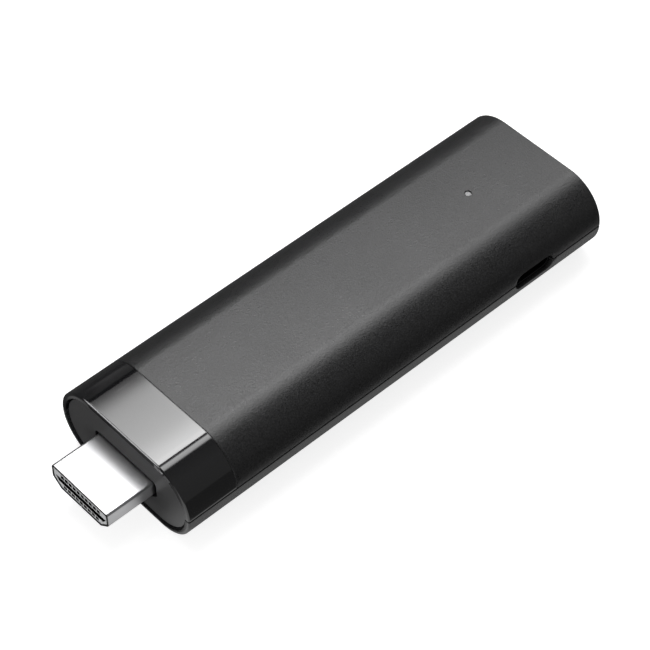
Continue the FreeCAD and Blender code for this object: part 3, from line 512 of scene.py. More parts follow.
# Material helpers
class Nodes:
    """Adds nodes to a tree and joins them by the names of their sockets."""

    def __init__(self, tree):
        self.tree = tree
        self.tree.nodes.clear()

    def add(self, kind, settings=None, **inputs):
        """New node; an input is a value or the output socket that feeds it."""
        node = self.tree.nodes.new(kind)
        for name, value in (settings or {}).items():
            setattr(node, name, value)
        for name, value in inputs.items():
            key = int(name[1:]) if name[0] == "i" and name[1:].isdigit() else name.replace("_", " ")
            socket = node.inputs[key]
            if isinstance(value, bpy.types.NodeSocket):
                self.tree.links.new(value, socket)
            else:
                socket.default_value = value
        return node

    def math(self, operation, a, b=0.0):
        """Result of an operation on two values."""
        return self.add("ShaderNodeMath", {"operation": operation}, i0=a, i1=b).outputs[0]

    def blend(self, mask, a, b):
        """Value between two values by a mask."""
        return self.add("ShaderNodeMix", {"data_type": "FLOAT"}, i0=mask, i2=a, i3=b).outputs[0]

    def tint(self, mask, a, b):
        """Colour between two colours by a mask."""
        return self.add("ShaderNodeMix", {"data_type": "RGBA"}, i0=mask, i6=a, i7=b).outputs[2]

    def spread(self, value, low, high, new_low=0.0, new_high=1.0):
        """Value moved from one range to another, and held in it."""
        return self.add("ShaderNodeMapRange", Value=value, From_Min=low, From_Max=high, To_Min=new_low,
                        To_Max=new_high).outputs[0]

    def axes(self, place):
        """Values X, Y and Z of a place."""
        return self.add("ShaderNodeSeparateXYZ", Vector=place).outputs

    def stretch(self, place, scale):
        """Place scaled by a factor along each axis."""
        return self.add("ShaderNodeMapping", Vector=place, Scale=scale).outputs[0]

    def noise(self, place, scale, detail, roughness=0.5):
        """Value of a cloudy pattern."""
        return self.add("ShaderNodeTexNoise", Vector=place, Scale=scale, Detail=detail,
                        Roughness=roughness).outputs[0]

    def bump(self, height, strength, distance):
        """Normal that a height gives."""
        return self.add("ShaderNodeBump", Height=height, Strength=strength, Distance=distance).outputs[0]


def group(name, inputs, outputs):
    """New shader group with named sockets, and its helper, input and output nodes."""
    tree = bpy.data.node_groups.new(name, "ShaderNodeTree")
    for label, kind, default in inputs:
        socket = tree.interface.new_socket(label, in_out="INPUT", socket_type="NodeSocket" + kind)
        if default is not None:
            socket.default_value = default
    for label, kind in outputs:
        tree.interface.new_socket(label, in_out="OUTPUT", socket_type="NodeSocket" + kind)
    nodes = Nodes(tree)
    return nodes, nodes.add("NodeGroupInput").outputs, nodes.add("NodeGroupOutput").inputs


def grain_group():
    """Fine moulded grain: height, and a value that varies the colour and the roughness."""
    nodes, given, result = group("moulded_grain", [("Vector", "Vector", None), ("Scale", "Float", 9000.0)],
                                 [("Height", "Float"), ("Fleck", "Float")])
    coarse = nodes.noise(given["Vector"], given["Scale"], 2.0, 0.6)
    pits = nodes.add("ShaderNodeTexVoronoi", {"feature": "SMOOTH_F1"}, Vector=given["Vector"],
                     Scale=nodes.math("MULTIPLY", given["Scale"], 0.55))
    height = nodes.math("ADD", coarse, nodes.math("MULTIPLY", pits.outputs[0], 0.6))
    nodes.tree.links.new(height, result["Height"])
    nodes.tree.links.new(nodes.spread(coarse, 0.3, 0.7), result["Fleck"])
    return nodes.tree


def smudge_group():
    """Large soft patches and a few fine hairlines that a handled surface has."""
    nodes, given, result = group("handling", [("Vector", "Vector", None), ("Scale", "Float", 60.0)],
                                 [("Patch", "Float"), ("Hairline", "Float")])
    patch = nodes.noise(given["Vector"], given["Scale"], 4.0, 0.55)
    lines = nodes.noise(nodes.stretch(given["Vector"], (60.0, 900.0, 900.0)), 1.5, 1.0)
    nodes.tree.links.new(nodes.spread(patch, 0.35, 0.68), result["Patch"])
    nodes.tree.links.new(nodes.spread(lines, 0.66, 0.74), result["Hairline"])
    return nodes.tree


def wear_and_highlight_group():
    """Mask of the edges, broken up by noise, for rubbed edges and for painted highlights on the plug's
    block.
    """
    nodes, given, result = group("edge_wear", [("Vector", "Vector", None), ("Radius", "Float", 0.15*MM)],
                                 [("Mask", "Float")])
    soft = nodes.add("ShaderNodeBevel", {"samples": 6}, Radius=given["Radius"])
    true = nodes.add("ShaderNodeNewGeometry")
    dot = nodes.add("ShaderNodeVectorMath", {"operation": "DOT_PRODUCT"}, i0=soft.outputs[0],
                    i1=true.outputs["Normal"])
    edge = nodes.spread(dot.outputs["Value"], 0.995, 0.9)
    broken = nodes.noise(given["Vector"], 1400.0, 3.0)
    mask = nodes.math("MULTIPLY", edge, nodes.spread(broken, 0.42, 0.66))
    nodes.tree.links.new(mask, result["Mask"])
    return nodes.tree


MAKERS = {"moulded_grain": grain_group, "handling": smudge_group, "edge_wear": wear_and_highlight_group}
SHARED = {}


def use(nodes, name, **inputs):
    """Outputs of a shared group in a material; the group is built at its first use."""
    if name not in SHARED:
        SHARED[name] = MAKERS[name]()
    return nodes.add("ShaderNodeGroup", {"node_tree": SHARED[name]}, **inputs).outputs


def new_material(name):
    """Empty material with its node helper and the object's own coordinates."""
    material = bpy.data.materials.new(name)
    material.use_nodes = True
    nodes = Nodes(material.node_tree)
    return material, nodes, nodes.add("ShaderNodeTexCoord").outputs["Object"]


def surface(nodes, constants, **inputs):
    """Principled surface joined to the material's output."""
    shader = nodes.add("ShaderNodeBsdfPrincipled", **inputs)
    for name, value in constants.items():
        shader.inputs[name].default_value = value
    nodes.add("ShaderNodeOutputMaterial", Surface=shader.outputs[0])
    return shader


def rgb(value):
    """Colour with its alpha."""
    return (*value[:3], 1.0)


def lighter(value, factor):
    """Colour made lighter or darker by a factor."""
    return (*[min(1.0, c*factor) for c in value[:3]], 1.0)


def rim_mask(nodes, axes, behind, below):
    """Mask that grows between two distances behind the band's front end, and two below its top."""
    return nodes.math("MULTIPLY", nodes.spread(axes["X"], FRONT_X + behind[0], FRONT_X + behind[1]),
                      nodes.spread(axes["Z"], TOP_Z - below[0], TOP_Z - below[1]))


def band_material():
    """Polished plastic with soft patches, hairlines, rubbed edges and a painted highlight line along its
    front edge.
    """
    finish = bpy.context.scene.stick_finish
    material, nodes, at = new_material("polished_plastic")
    hands = use(nodes, "handling", Vector=at, Scale=55.0)
    edge_mask = use(nodes, "edge_wear", Vector=at, Radius=0.2*MM)
    base = nodes.tint(hands["Patch"], rgb(finish.band), lighter(finish.band, 1.3))
    base = nodes.tint(nodes.math("MULTIPLY", edge_mask["Mask"], 0.4), base, lighter(finish.band, 3))
    axes = nodes.axes(at)
    # Painted highlight: the band's front edge takes the light colour finish.edge, standing in for the light
    # it catches
    front_edge = rim_mask(nodes, axes, behind=(0.17*MM, 0.09*MM), below=(0.25*MM, 0.06*MM))
    base = nodes.tint(front_edge, base, rgb(finish.edge))
    rim_front = rim_mask(nodes, axes, behind=(0.07*MM, 0.04*MM), below=(1.6*MM, MM))
    smooth = finish.band_roughness
    rough = nodes.math("ADD", nodes.blend(hands["Patch"], smooth, smooth + 0.02),
                       nodes.math("MULTIPLY", hands["Hairline"], 0.03))
    waves = nodes.bump(nodes.noise(at, 260.0, 1.0), 0.08, 0.02*MM)
    shader = surface(nodes, {"IOR": 1.84}, Base_Color=base, Roughness=rough, Normal=waves)
    nodes.tree.links.new(nodes.blend(rim_front, 0.5, 0.1), shader.inputs["Specular IOR Level"])
    return material


def moulded_material(name, base_colour, roughness, scale=7000.0, depth=0.02*MM, wear_and_highlight=2.0,
                     radius=0.15*MM, painted_shade_from=None, fleck=0.14, gloss=1.5):
    """Moulded plastic with fine grain, handling marks and lighter rubbed edges, which on the plug's block
    are painted highlights; painted shade darkens it inside from a place on X.
    """
    material, nodes, at = new_material(name)
    grain = use(nodes, "moulded_grain", Vector=at, Scale=scale)
    hands = use(nodes, "handling", Vector=at, Scale=70.0)
    edge_mask = use(nodes, "edge_wear", Vector=at, Radius=radius)
    base = nodes.tint(grain["Fleck"], lighter(base_colour, 1 - fleck), lighter(base_colour, 1 + fleck))
    # Lighter edges: rubbed edges, and on the plug's block painted highlights along the face, slot and
    # channels
    base = nodes.tint(nodes.math("MULTIPLY", edge_mask["Mask"], 0.5), base, lighter(base_colour, wear_and_highlight))
    # Painted shade: from this place on X inwards the colour goes to near black, in place of the shade
    # inside the plug's slot and channels
    if painted_shade_from is not None:
        inside = nodes.spread(nodes.axes(at)["X"], painted_shade_from, painted_shade_from + 0.03*MM)
        base = nodes.tint(inside, base, (0.002, 0.002, 0.002, 1.0))
    swing = 0.12*fleck
    smooth = roughness - swing
    rough = nodes.math("ADD", nodes.blend(hands["Patch"], smooth - 0.02, smooth + 0.03),
                       nodes.math("MULTIPLY", grain["Fleck"], 2*swing))
    bump = nodes.bump(grain["Height"], 0.5, depth)
    shader = surface(nodes, {"IOR": gloss}, Base_Color=base, Roughness=rough, Normal=bump)
    # The painted shade also lowers the specular level inside
    if painted_shade_from is not None:
        nodes.tree.links.new(nodes.blend(inside, 0.5, 0.0), shader.inputs["Specular IOR Level"])
    return material


def metal_material(name, base_colour, roughness, dark_front_edge=None):
    """Sheet metal with drawn lines, soft patches and scratches, and a darker front edge from a place on X.
    """
    material, nodes, at = new_material(name)
    drawn = nodes.noise(nodes.stretch(at, (120.0, 4000.0, 4000.0)), 1.0, 3.0)
    hands = use(nodes, "handling", Vector=at, Scale=140.0)
    base = nodes.tint(nodes.math("MULTIPLY", hands["Patch"], 0.25), rgb(base_colour),
                      lighter(base_colour, 0.75))
    if dark_front_edge is not None:
        # Darker front edge: in front of this place on X the colour drops to a tenth
        cut = nodes.spread(nodes.axes(at)["X"], dark_front_edge + 0.02*MM, dark_front_edge)
        base = nodes.tint(cut, base, lighter(base_colour, 0.1))
    rough = nodes.math("ADD", nodes.blend(drawn, roughness - 0.02, roughness + 0.02),
                       nodes.math("MULTIPLY", hands["Hairline"], 0.08))
    surface(nodes, {"Metallic": 1.0}, Base_Color=base, Roughness=rough,
            Normal=nodes.bump(drawn, 0.1, 0.004*MM))
    return material


def window_material():
    """Milky moulded window of the status light."""
    finish = bpy.context.scene.stick_finish
    material, nodes, at = new_material("milky_window")
    cloud = nodes.noise(at, 900.0, 2.0)
    base = nodes.tint(cloud, rgb(finish.window), rgb(finish.window_haze))
    rough = nodes.spread(cloud, 0.3, 0.7, 0.3, 0.42)
    surface(nodes, {}, Base_Color=base, Roughness=rough, Normal=nodes.bump(cloud, 0.2, 0.02*MM))
    return material


def board_material():
    """Solder mask with faint copper traces under it."""
    material, nodes, at = new_material("solder_mask")
    traces = nodes.add("ShaderNodeTexBrick", {"offset": 0.37, "squash": 0.6, "squash_frequency": 3},
                       Vector=at, Scale=420.0, Mortar_Size=0.08, Mortar_Smooth=0.3)
    hands = use(nodes, "handling", Vector=at, Scale=120.0)
    base = nodes.tint(traces.outputs["Fac"], (0.012, 0.075, 0.032, 1.0), (0.03, 0.14, 0.06, 1.0))
    rough = nodes.blend(hands["Patch"], 0.28, 0.4)
    surface(nodes, {"Coat Weight": 0.3}, Base_Color=base, Roughness=rough,
            Normal=nodes.bump(traces.outputs["Fac"], 0.3, 0.03*MM))
    return material


# Casing
def half_section(half, edge, seam, steps, soft):
    """Outline of half of the casing's section, from one long side over the flat to the other.

    The corner at the seam is rounded inwards where soft is above 0, and outwards below it.
    """
    radius = abs(edge - seam)
    way = 1 if edge > seam else -1
    first = math.asin(abs(soft)/radius)
    beside = half - radius*(1 - math.cos(first))
    side = [(beside - soft*(1 - v), seam + way*abs(soft)*(1 - u)) for u, v in arc(0, 0, 1, 0, 67.5, 3)]
    side += [(half - radius + u, seam + way*v)
             for u, v in arc(0, 0, radius, math.degrees(first), 90, steps)]
    return [(-y, z) for y, z in side] + side[::-1]


def casing_rings(edge, seam, rim_wall, grooved):
    """Rings of one half from its inner end wall, round the rim and back along the outside."""
    c = bpy.context.scene.stick_casing
    way = 1 if edge > seam else -1

    def ring(x, side, wall, soft=-c.edge_round):
        outline = half_section(HALF_WIDTH - side, edge - way*wall, seam, c.arc_steps, soft)
        return [(x, y, z) for y, z in outline]

    def outside(x, depth):
        return ring(x, depth, depth, c.edge_round)

    shoulder = FRONT_X + c.rim_depth
    rings = [ring(REAR_X - c.end_wall, c.side_wall, c.top_wall), ring(shoulder, c.side_wall, c.top_wall),
             ring(shoulder, c.rim_side, rim_wall)]
    e = c.edge_round
    for u, v in arc(e, e, e, 180, 270, 3):
        rings.append(ring(FRONT_X + v, c.rim_side - e + u, rim_wall - e + u))
    r = c.end_round
    for u, v in arc(r, r, r, 270, 180, 6):
        rings.append(outside(FRONT_X + v, u))
    if grooved:
        start = FRONT_X + c.band_length
        slope, steps = c.groove_width*0.4, 6
        for base, rising in ((start, False), (start + c.groove_width, True)):
            for k in range(steps + 1):
                t = 1 - k/steps if rising else k/steps
                rings.append(outside(base + slope*(k/steps - rising), c.groove_depth*eased(t)))
    front, rear = FRONT_X + c.band_length + 2*c.groove_width, REAR_X - r
    rings += [outside(front + (rear - front)*k/c.long_steps, 0) for k in range(c.long_steps)]
    rings += [outside(REAR_X + u, v) for u, v in arc(-r, r, r, 270, 360, 6)]
    return rings


def casing_half(name, edge, way, rim_wall, grooved):
    """Closed shell of one half, its edge lifted off the seam."""
    c = bpy.context.scene.stick_casing
    bm = bmesh.new()
    seam = SEAM_Z + way*c.seam_gap
    rows = loft(bm, casing_rings(edge, seam, rim_wall, grooved), closed=False)
    left = [row[0] for row in rows]
    right = [row[-1] for row in rows]
    bm.faces.new(left + right[::-1])
    return mesh_object(name, bm)


def casing_lip(way):
    """Inner lip of one half, set back from the outside, which closes the seam's open gap."""
    c = bpy.context.scene.stick_casing
    outer = HALF_WIDTH - c.seam_shelf
    inner = HALF_WIDTH - c.rim_side + c.edge_round
    front, rear = FRONT_X + c.seam_shelf, REAR_X - c.seam_shelf
    wall = REAR_X - c.rim_side
    outline = [(front, -outer), (rear, -outer), (rear, outer), (front, outer), (front, inner),
               (wall, inner), (wall, -inner), (front, -inner)]
    ends = sorted((SEAM_Z, SEAM_Z + way*(c.seam_gap + c.lip_height)))
    return prism("lip", outline, *ends, on_z)


def casing_cuts():
    """Cutting shapes of the port's slot and the button's hole."""
    c, b = bpy.context.scene.stick_casing, bpy.context.scene.stick_button
    port = pill(PORT_X, SEAM_Z, c.port_width + 2*c.port_side, PORT_HIGH.z - PORT_LOW.z + 2*c.port_top)
    button = pill(BUTTON_X, SEAM_Z, b.width + 2*b.room, b.height + 2*b.room)
    inner = HALF_WIDTH - 3*c.side_wall
    return [prism("port_cut", port, -HALF_WIDTH - MM, -inner, on_y),
            prism("button_cut", button, inner, HALF_WIDTH + MM, on_y)]


def beside_hole(place):
    """Whether a point of the casing lies on the outer edge of a hole, off the seam."""
    c = bpy.context.scene.stick_casing
    side_reach, top_reach = 2.5*MM, 0.1*MM
    off_seam = abs(place.z - SEAM_Z)
    if off_seam < 4*c.seam_gap:
        return False
    hole_x = PORT_X if place.y < 0 else BUTTON_X
    on_side = off_seam < side_reach and abs(place.y) > HALF_WIDTH - c.side_wall/2
    on_top = place.z > TOP_Z - top_reach and math.hypot(place.x - LIGHT_X, place.y) < 2*c.light_radius
    return on_top or (on_side and abs(place.x - hole_x) < c.port_width)


def finished_half(name, edge, way, rim_wall, grooved, cuts=()):
    """One half with its holes, rounded edges and inner lip; its shading is evened out last."""
    c = bpy.context.scene.stick_casing
    half = combine(casing_half(name, edge, way, rim_wall, grooved), [*casing_cuts(), *cuts])
    soften(half, c.edge_round, picked=beside_hole)
    half.modifiers.remove(half.modifiers["shading"])
    baked(half)
    combine(half, [combine(casing_lip(way), casing_cuts())], "UNION")
    even_shading(half)
    return half


class STICK_OT_upper_housing(bpy.types.Operator):
    """Upper half of the casing with its polished band"""
    bl_idname = "stick.upper_housing"
    bl_label = "Upper housing"

    def execute(self, context):
        c, finish = context.scene.stick_casing, context.scene.stick_finish
        steps = 32
        round_hole = arc(LIGHT_X, 0, c.light_radius, 0, 360 - 360/steps, steps - 1)
        light = prism("light_cut", round_hole, TOP_Z - 2*c.top_wall, TOP_Z + MM, on_z)
        half = finished_half("upper_shell", TOP_Z, 1, c.rim_top, True, [light])
        put(half, "housing_black", "casing", ["upper_housing"],
            moulded_material("casing_plastic", finish.casing, finish.casing_roughness, scale=5000.0,
                             depth=0.055*MM, fleck=0.95, gloss=1.6),
            band_material())
        edge = FRONT_X + c.band_length + c.groove_width/2
        for face in half.data.polygons:
            face.material_index = int(face.center.x < edge)
        return {"FINISHED"}


class STICK_OT_lower_cover(bpy.types.Operator):
    """Lower half of the casing"""
    bl_idname = "stick.lower_cover"
    bl_label = "Lower cover"

    def execute(self, context):
        c = context.scene.stick_casing
        half = finished_half("lower_shell", FLOOR_Z, -1, c.rim_floor, False)
        put(half, "cover_black", "casing", ["lower_cover"],
            moulded_material("cover_plastic", context.scene.stick_finish.cover, 0.27, scale=3600.0,
                             fleck=0.25))
        return {"FINISHED"}


# Plug
def plug_outline():
    """Corners of the plug as (y, z), anticlockwise: upright sides over a narrower foot."""
    p = bpy.context.scene.stick_plug
    half, foot = PLUG_HIGH.y, p.foot_width/2
    shoulder = PLUG_HIGH.z - p.side_height
    return [(-foot, PLUG_LOW.z), (foot, PLUG_LOW.z), (half, shoulder), (half, PLUG_HIGH.z),
            (-half, PLUG_HIGH.z), (-half, shoulder)]


class STICK_OT_front_cap(bpy.types.Operator):
    """Inset cap with a close hole round the plug"""
    bl_idname = "stick.front_cap"
    bl_label = "Front cap"

    def execute(self, context):
        c, rim = context.scene.stick_cap, context.scene.stick_casing
        half = HALF_WIDTH - rim.rim_side - c.gap
        front = FRONT_X + c.setback
        rear = front + c.thickness

        def ring(x, depth):
            outline = []
            for edge, way in ((TOP_Z - rim.rim_top - c.gap - depth, 1),
                              (FLOOR_Z + rim.rim_floor + c.gap + depth, -1)):
                radius = abs(edge - SEAM_Z)
                reach = half - depth - radius
                quarter = [(reach + u, SEAM_Z + way*v)
                           for u, v in arc(0, 0, radius, 0, 90, rim.arc_steps)]
                across = [(-y, z) for y, z in quarter] + quarter[::-1]
                outline += across if way > 0 else across[::-1][1:-1]
            return [(x, y, z) for y, z in outline]

        front_edge = [ring(front + v, u) for u, v in arc(c.edge, c.edge, c.edge, 270, 180, 4)]
        cap = lofted("cap_plate", front_edge + [ring(rear, 0)])
        grown = inset(plug_outline(), -c.hole_top)
        wide = [(y + math.copysign(c.hole_side - c.hole_top, y), z) for y, z in grown]
        hole = prism("plug_cut", rounded(wide, c.hole_round), front - MM, rear + MM, on_x)
        combine(cap, [hole])
        soften(cap, rim.edge_round)
        put(cap, "cap_black", "casing", ["front_cap"],
            moulded_material("cap_plastic", context.scene.stick_finish.cap, 0.36, depth=0.01*MM))
        return {"FINISHED"}


class STICK_OT_plug_shell(bpy.types.Operator):
    """Folded metal shell of the plug"""
    bl_idname = "stick.plug_shell"
    bl_label = "Plug shell"

    def execute(self, context):
        p = context.scene.stick_plug
        corners = plug_outline()
        outer = rounded(corners, p.round)
        inner = rounded(inset(corners, p.wall), p.round - p.wall)
        gap = p.slit/2
        first = len(outer)//len(corners)

        def from_slit(outline, z):
            return [(gap, z)] + outline[first:] + outline[:first] + [(-gap, z)]

        loop = from_slit(outer, PLUG_LOW.z) + from_slit(inner, PLUG_LOW.z + p.wall)[::-1]
        shell = prism("plug_sheet", loop, PLUG_LOW.x, FRONT_X + p.inside_length, on_x)
        soften(shell, p.lip, degrees=50)
        put(shell, "plug_steel", "casing", ["hdmi_shell"],
            metal_material("plug_plating", context.scene.stick_finish.plug, 0.32,
                           dark_front_edge=PLUG_LOW.x + 0.16*MM))
        return {"FINISHED"}


class STICK_OT_plug_block(bpy.types.Operator):
    """Moulded block in the plug with the tongue's slot and the contacts' channels"""
    bl_idname = "stick.plug_block"
    bl_label = "Plug block"

    def execute(self, context):
        p, r = context.scene.stick_plug, context.scene.stick_rows
        top, face = PLUG_HIGH.z, PLUG_LOW.x + p.face_recess
        rear = FRONT_X + p.inside_length
        clearance = 0.02*MM
        core = rounded(inset(plug_outline(), p.wall + clearance), p.round - p.wall)
        block = prism("plug_core", core, face, rear, on_x)
        high, low = top - p.slot_top, top - p.slot_top - p.slot_height
        wide, narrow = p.slot_width/2, p.slot_width/2 - p.slot_taper
        slot = [(-narrow, low), (narrow, low), (wide, high), (-wide, high)]
        cuts = [prism("slot_cut", slot, face - MM, face + p.slot_depth, on_x)]
        half = p.channel_width/2
        for number, drop, height in ((r.upper_contacts, p.upper_channel, p.upper_height),
                                     (r.lower_contacts, p.lower_channel, p.lower_height)):
            for k in range(number):
                y = (k - (number - 1)/2)*r.contact_pitch
                opening = rectangle(y - half, y + half, top - drop - height, top - drop)
                cuts.append(prism("channel_cut", opening, face - MM, rear + MM, on_x))
        combine(block, cuts)
        soften(block, 0.05*MM, segments=2, degrees=40)
        # Strongly lightened edges paint highlights along the block's face, slot and channels, and painted
        # shade darkens the slot and channels inside
        put(block, "insulator_grey", "casing", ["hdmi_insulator"],
            moulded_material("block_plastic", context.scene.stick_finish.insulator, 0.4, scale=9000.0,
                             depth=0.008*MM, wear_and_highlight=2.2, radius=0.1*MM, painted_shade_from=face + 0.005*MM))
        return {"FINISHED"}


# Contacts and capacitors

# Curve of a contact's crown: how far behind the tip, and its height as a part of the crown's
CROWN = ((0, -0.3), (0.5*MM, 0.5), (1.1*MM, 1), (1.8*MM, 0.6), (2.8*MM, 0))


def contact_strip(x0, x1, run, tail):
    """One of the plug's bent contacts, with a raised crown near its tip."""
    r = bpy.context.scene.stick_rows
    bend = x1 - r.contact_tail
    crown = r.contact_sheet*(0.8 if run > tail else -0.8)
    path = [(x0 + behind, run + crown*part) for behind, part in CROWN]
    path += [(bend - 0.1*MM, run), (bend + 0.1*MM, (run + tail)/2), (bend + 0.3*MM, tail), (x1, tail)]
    section = rectangle(-r.contact_width/2, r.contact_width/2, -r.contact_sheet/2, r.contact_sheet/2)
    strip = lofted("strip", [[(x, y, z + v) for y, v in section] for x, z in path])
    return baked(soften(strip, 0.03*MM, segments=2, degrees=50))


def flat_contact(name, length, sheet):
    """One of the port's contacts, with its near end at the origin."""
    half = bpy.context.scene.stick_rows.port_pad/2
    thing = prism(name, rectangle(-half, half, 0, length), 0, sheet, on_z)
    return baked(soften(thing, sheet/4, segments=2, degrees=50))


def capacitor():
    """One ceramic capacitor with raised end caps, centred."""
    r = bpy.context.scene.stick_rows
    side, reach = r.capacitor_width/2, r.capacitor_length/2
    skin, cap = 0.05*MM, 0.3*MM
    sections = ((-reach, 0), (cap - reach, 0), (cap - reach, skin), (reach - cap, skin),
                (reach - cap, 0), (reach, 0))
    body = lofted("capacitor", [[(x, y, z) for y, z in rectangle(d - side, side - d, d - side, side - d)]
                                for x, d in sections])
    return baked(soften(body, 0.03*MM, segments=2, degrees=50))


def plug_contacts(tree, gold):
    """Both rows of the plug's contacts."""
    r = bpy.context.scene.stick_rows
    for node, number, run_side in (("hdmi_contacts_upper", r.upper_contacts, 1),
                                   ("hdmi_contacts_lower", r.lower_contacts, -1)):
        low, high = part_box(node)
        half = r.contact_sheet/2
        run, tail = (high.z - half, low.z + half)[::run_side]
        strip = contact_strip(low.x, high.x, run, tail)
        start = (0, -(number - 1)/2*r.contact_pitch, 0)
        rows = rows_of(node + "_row", tree, [(strip, number, start, (0, r.contact_pitch, 0))], gold)
        put(rows, "contact_gold", "casing", [node], gold)


def port_contacts(tree, gold):
    """Contacts on both sides of the port's tongue, and their soldered tails."""
    r = bpy.context.scene.stick_rows
    low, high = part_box("usb_contacts")
    half = r.port_tongue/2
    sheet = SEAM_Z - low.z - half
    pad = flat_contact("pad", r.port_pad_length, sheet)
    tail = flat_contact("tail", r.port_tail, 2*sheet)
    first = PORT_X - (r.port_contacts - 1)/2*r.port_pitch
    step = (r.port_pitch, 0, 0)
    starts = ((pad, low.y, SEAM_Z + half), (pad, low.y, SEAM_Z - half - sheet),
              (tail, high.y - r.port_tail, BOARD_TOP))
    rows = rows_of("usb_contact_rows", tree,
                   [(piece, r.port_contacts, (first, y, z), step) for piece, y, z in starts], gold)
    put(rows, "contact_gold", "casing", ["usb_contacts"], gold)


def capacitor_rows(tree):
    """Two rows of capacitors, one near each end of their node."""
    r = bpy.context.scene.stick_rows
    low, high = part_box("capacitors")
    ceramic = moulded_material("ceramic_body", (0.34, 0.23, 0.15), 0.4, wear_and_highlight=1.3)
    part = capacitor()
    side, reach = r.capacitor_width/2, r.capacitor_length/2
    last = (r.capacitors - 1)*r.capacitor_pitch
    starts = ((low.x + reach, low.y + side, high.z - side),
              (high.x - reach, high.y - side - last, low.z + side))
    rows = rows_of("capacitor_rows", tree,
                   [(part, r.capacitors, start, (0, r.capacitor_pitch, 0)) for start in starts], ceramic)
    put(rows, "ceramic_brown", "casing", ["capacitors"], ceramic)


class STICK_OT_rows(bpy.types.Operator):
    """Rows of contacts and capacitors"""
    bl_idname = "stick.rows"
    bl_label = "Rows"

    def execute(self, context):
        tree = row_tree()
        gold = metal_material("gold_plating", (0.85, 0.6, 0.24), 0.25)
        plug_contacts(tree, gold)
        port_contacts(tree, gold)
        capacitor_rows(tree)
        return {"FINISHED"}


# Port, window and button
def port_wings():
    """Soldered wings on both sides of the port's shell."""
    c = bpy.context.scene.stick_casing
    length, starts = 1.6*MM, (PORT_LOW.y + 2.4*MM, PORT_LOW.y + 5.4*MM)
    sides = ((PORT_LOW.x, PORT_X - c.port_width/2 + c.port_wall/2),
             (PORT_X + c.port_width/2 - c.port_wall/2, PORT_HIGH.x))
    return [prism("wing", rectangle(*side, start, start + length), BOARD_TOP, BOARD_TOP + c.port_wall, on_z)
            for start in starts for side in sides]


class STICK_OT_port_shell(bpy.types.Operator):
    """Seamless metal shell of the port with its soldered wings"""
    bl_idname = "stick.port_shell"
    bl_label = "Port shell"

    def execute(self, context):
        c = context.scene.stick_casing
        height, wall = PORT_HIGH.z - PORT_LOW.z, c.port_wall

        def ring(y, depth):
            return [(x, y, z) for x, z in pill(PORT_X, SEAM_Z, c.port_width - 2*depth,
                                               height - 2*depth, steps=20)]

        mouth, rear = PORT_LOW.y, PORT_HIGH.y
        r = wall/2
        lip = [ring(mouth + v, u) for u, v in arc(r, r, r, 180, 360, 8)]
        shell = lofted("port_sheet", [ring(rear, 0), *lip, ring(rear, wall)], tube=True)
        combine(shell, port_wings(), "UNION")
        even_shading(shell)
        put(shell, "port_steel", "casing", ["usb_shell"],
            metal_material("port_plating", context.scene.stick_finish.port, 0.34))
        return {"FINISHED"}


class STICK_OT_status_window(bpy.types.Operator):
    """Domed window of the status light on its flanged guide"""
    bl_idname = "stick.status_window"
    bl_label = "Status window"

    def execute(self, context):
        c = context.scene.stick_casing
        low, top = LIGHT_LOW.z, LIGHT_HIGH.z
        flange = (LIGHT_HIGH.x - LIGHT_LOW.x)/2
        foot, neck, radius = 0.8*MM, 1.1*MM, c.light_radius - 0.05*MM
        soft, chamfer, dome = 0.08*MM, 0.05*MM, 0.16*MM
        roof = TOP_Z - c.top_wall
        under, seat = roof - 0.8*MM, roof - 0.01*MM
        profile = [(0, low), (foot, low), (foot + chamfer, low + chamfer), (neck, under),
                   (flange - soft, under), (flange, under + soft), (flange, roof - soft),
                   (flange - soft, seat), (radius + soft, seat), (radius, roof + soft),
                   (radius, top - dome)]
        profile += [(radius*u, top - dome + dome*v) for u, v in arc(0, 0, 1, 15, 75, 4)]
        window = lathe("light_window", profile + [(0, top)], LIGHT_X, 0)
        even_shading(window)
        put(window, "window_clear", "casing", ["light_guide"], window_material())
        return {"FINISHED"}


class STICK_OT_reset_button(bpy.types.Operator):
    """Reset button with its dished face, flange and stem"""
    bl_idname = "stick.reset_button"
    bl_label = "Reset button"

    def execute(self, context):
        b = context.scene.stick_button
        face, back = BUTTON_HIGH.y, BUTTON_LOW.y
        flange = back + b.stem_length
        flange_end = flange + b.flange
        flange_width = BUTTON_HIGH.x - BUTTON_LOW.x
        soft, stem_round, flange_round = 0.08*MM, 0.14*MM, 0.5*MM

        def ring(y, width, height, radius):
            u, v = width/2, height/2
            corners = rectangle(BUTTON_X - u, BUTTON_X + u, SEAM_Z - v, SEAM_Z + v)
            return [(x, y, z) for x, z in rounded(corners, radius, steps=10)]

        def stem_ring(y, depth):
            return ring(y, b.stem_width - 2*depth, b.stem_height - 2*depth, stem_round - depth)

        def flange_ring(y, depth):
            return ring(y, flange_width - 2*depth, b.flange_height - 2*depth, flange_round - depth)

        def face_ring(y, depth):
            return ring(y, b.width - 2*depth, b.height - 2*depth, b.height/2 - depth - 0.01*MM)

        rings = [stem_ring(back, soft/2), stem_ring(back + soft/2, 0), stem_ring(flange, 0),
                 flange_ring(flange, soft), flange_ring(flange + soft, 0),
                 flange_ring(flange_end - soft, 0), flange_ring(flange_end, soft),
                 face_ring(flange_end, 0)]
        rings += [face_ring(face - v, u) for u, v in arc(b.edge, b.edge, b.edge, 180, 270, 5)]
        dish_edge = b.edge + 0.03*MM
        reach, steps = 0.94*(b.height/2 - b.edge - 0.06*MM), 8
        for k in range(1, steps + 1):
            rings.append(face_ring(face - b.dish*eased(k/steps), dish_edge + reach*k/steps))
        button = lofted("reset_key", rings)
        even_shading(button)
        put(button, "button_black", "button", ["reset_button"],
            moulded_material("button_plastic", context.scene.stick_finish.button, 0.4))
        return {"FINISHED"}


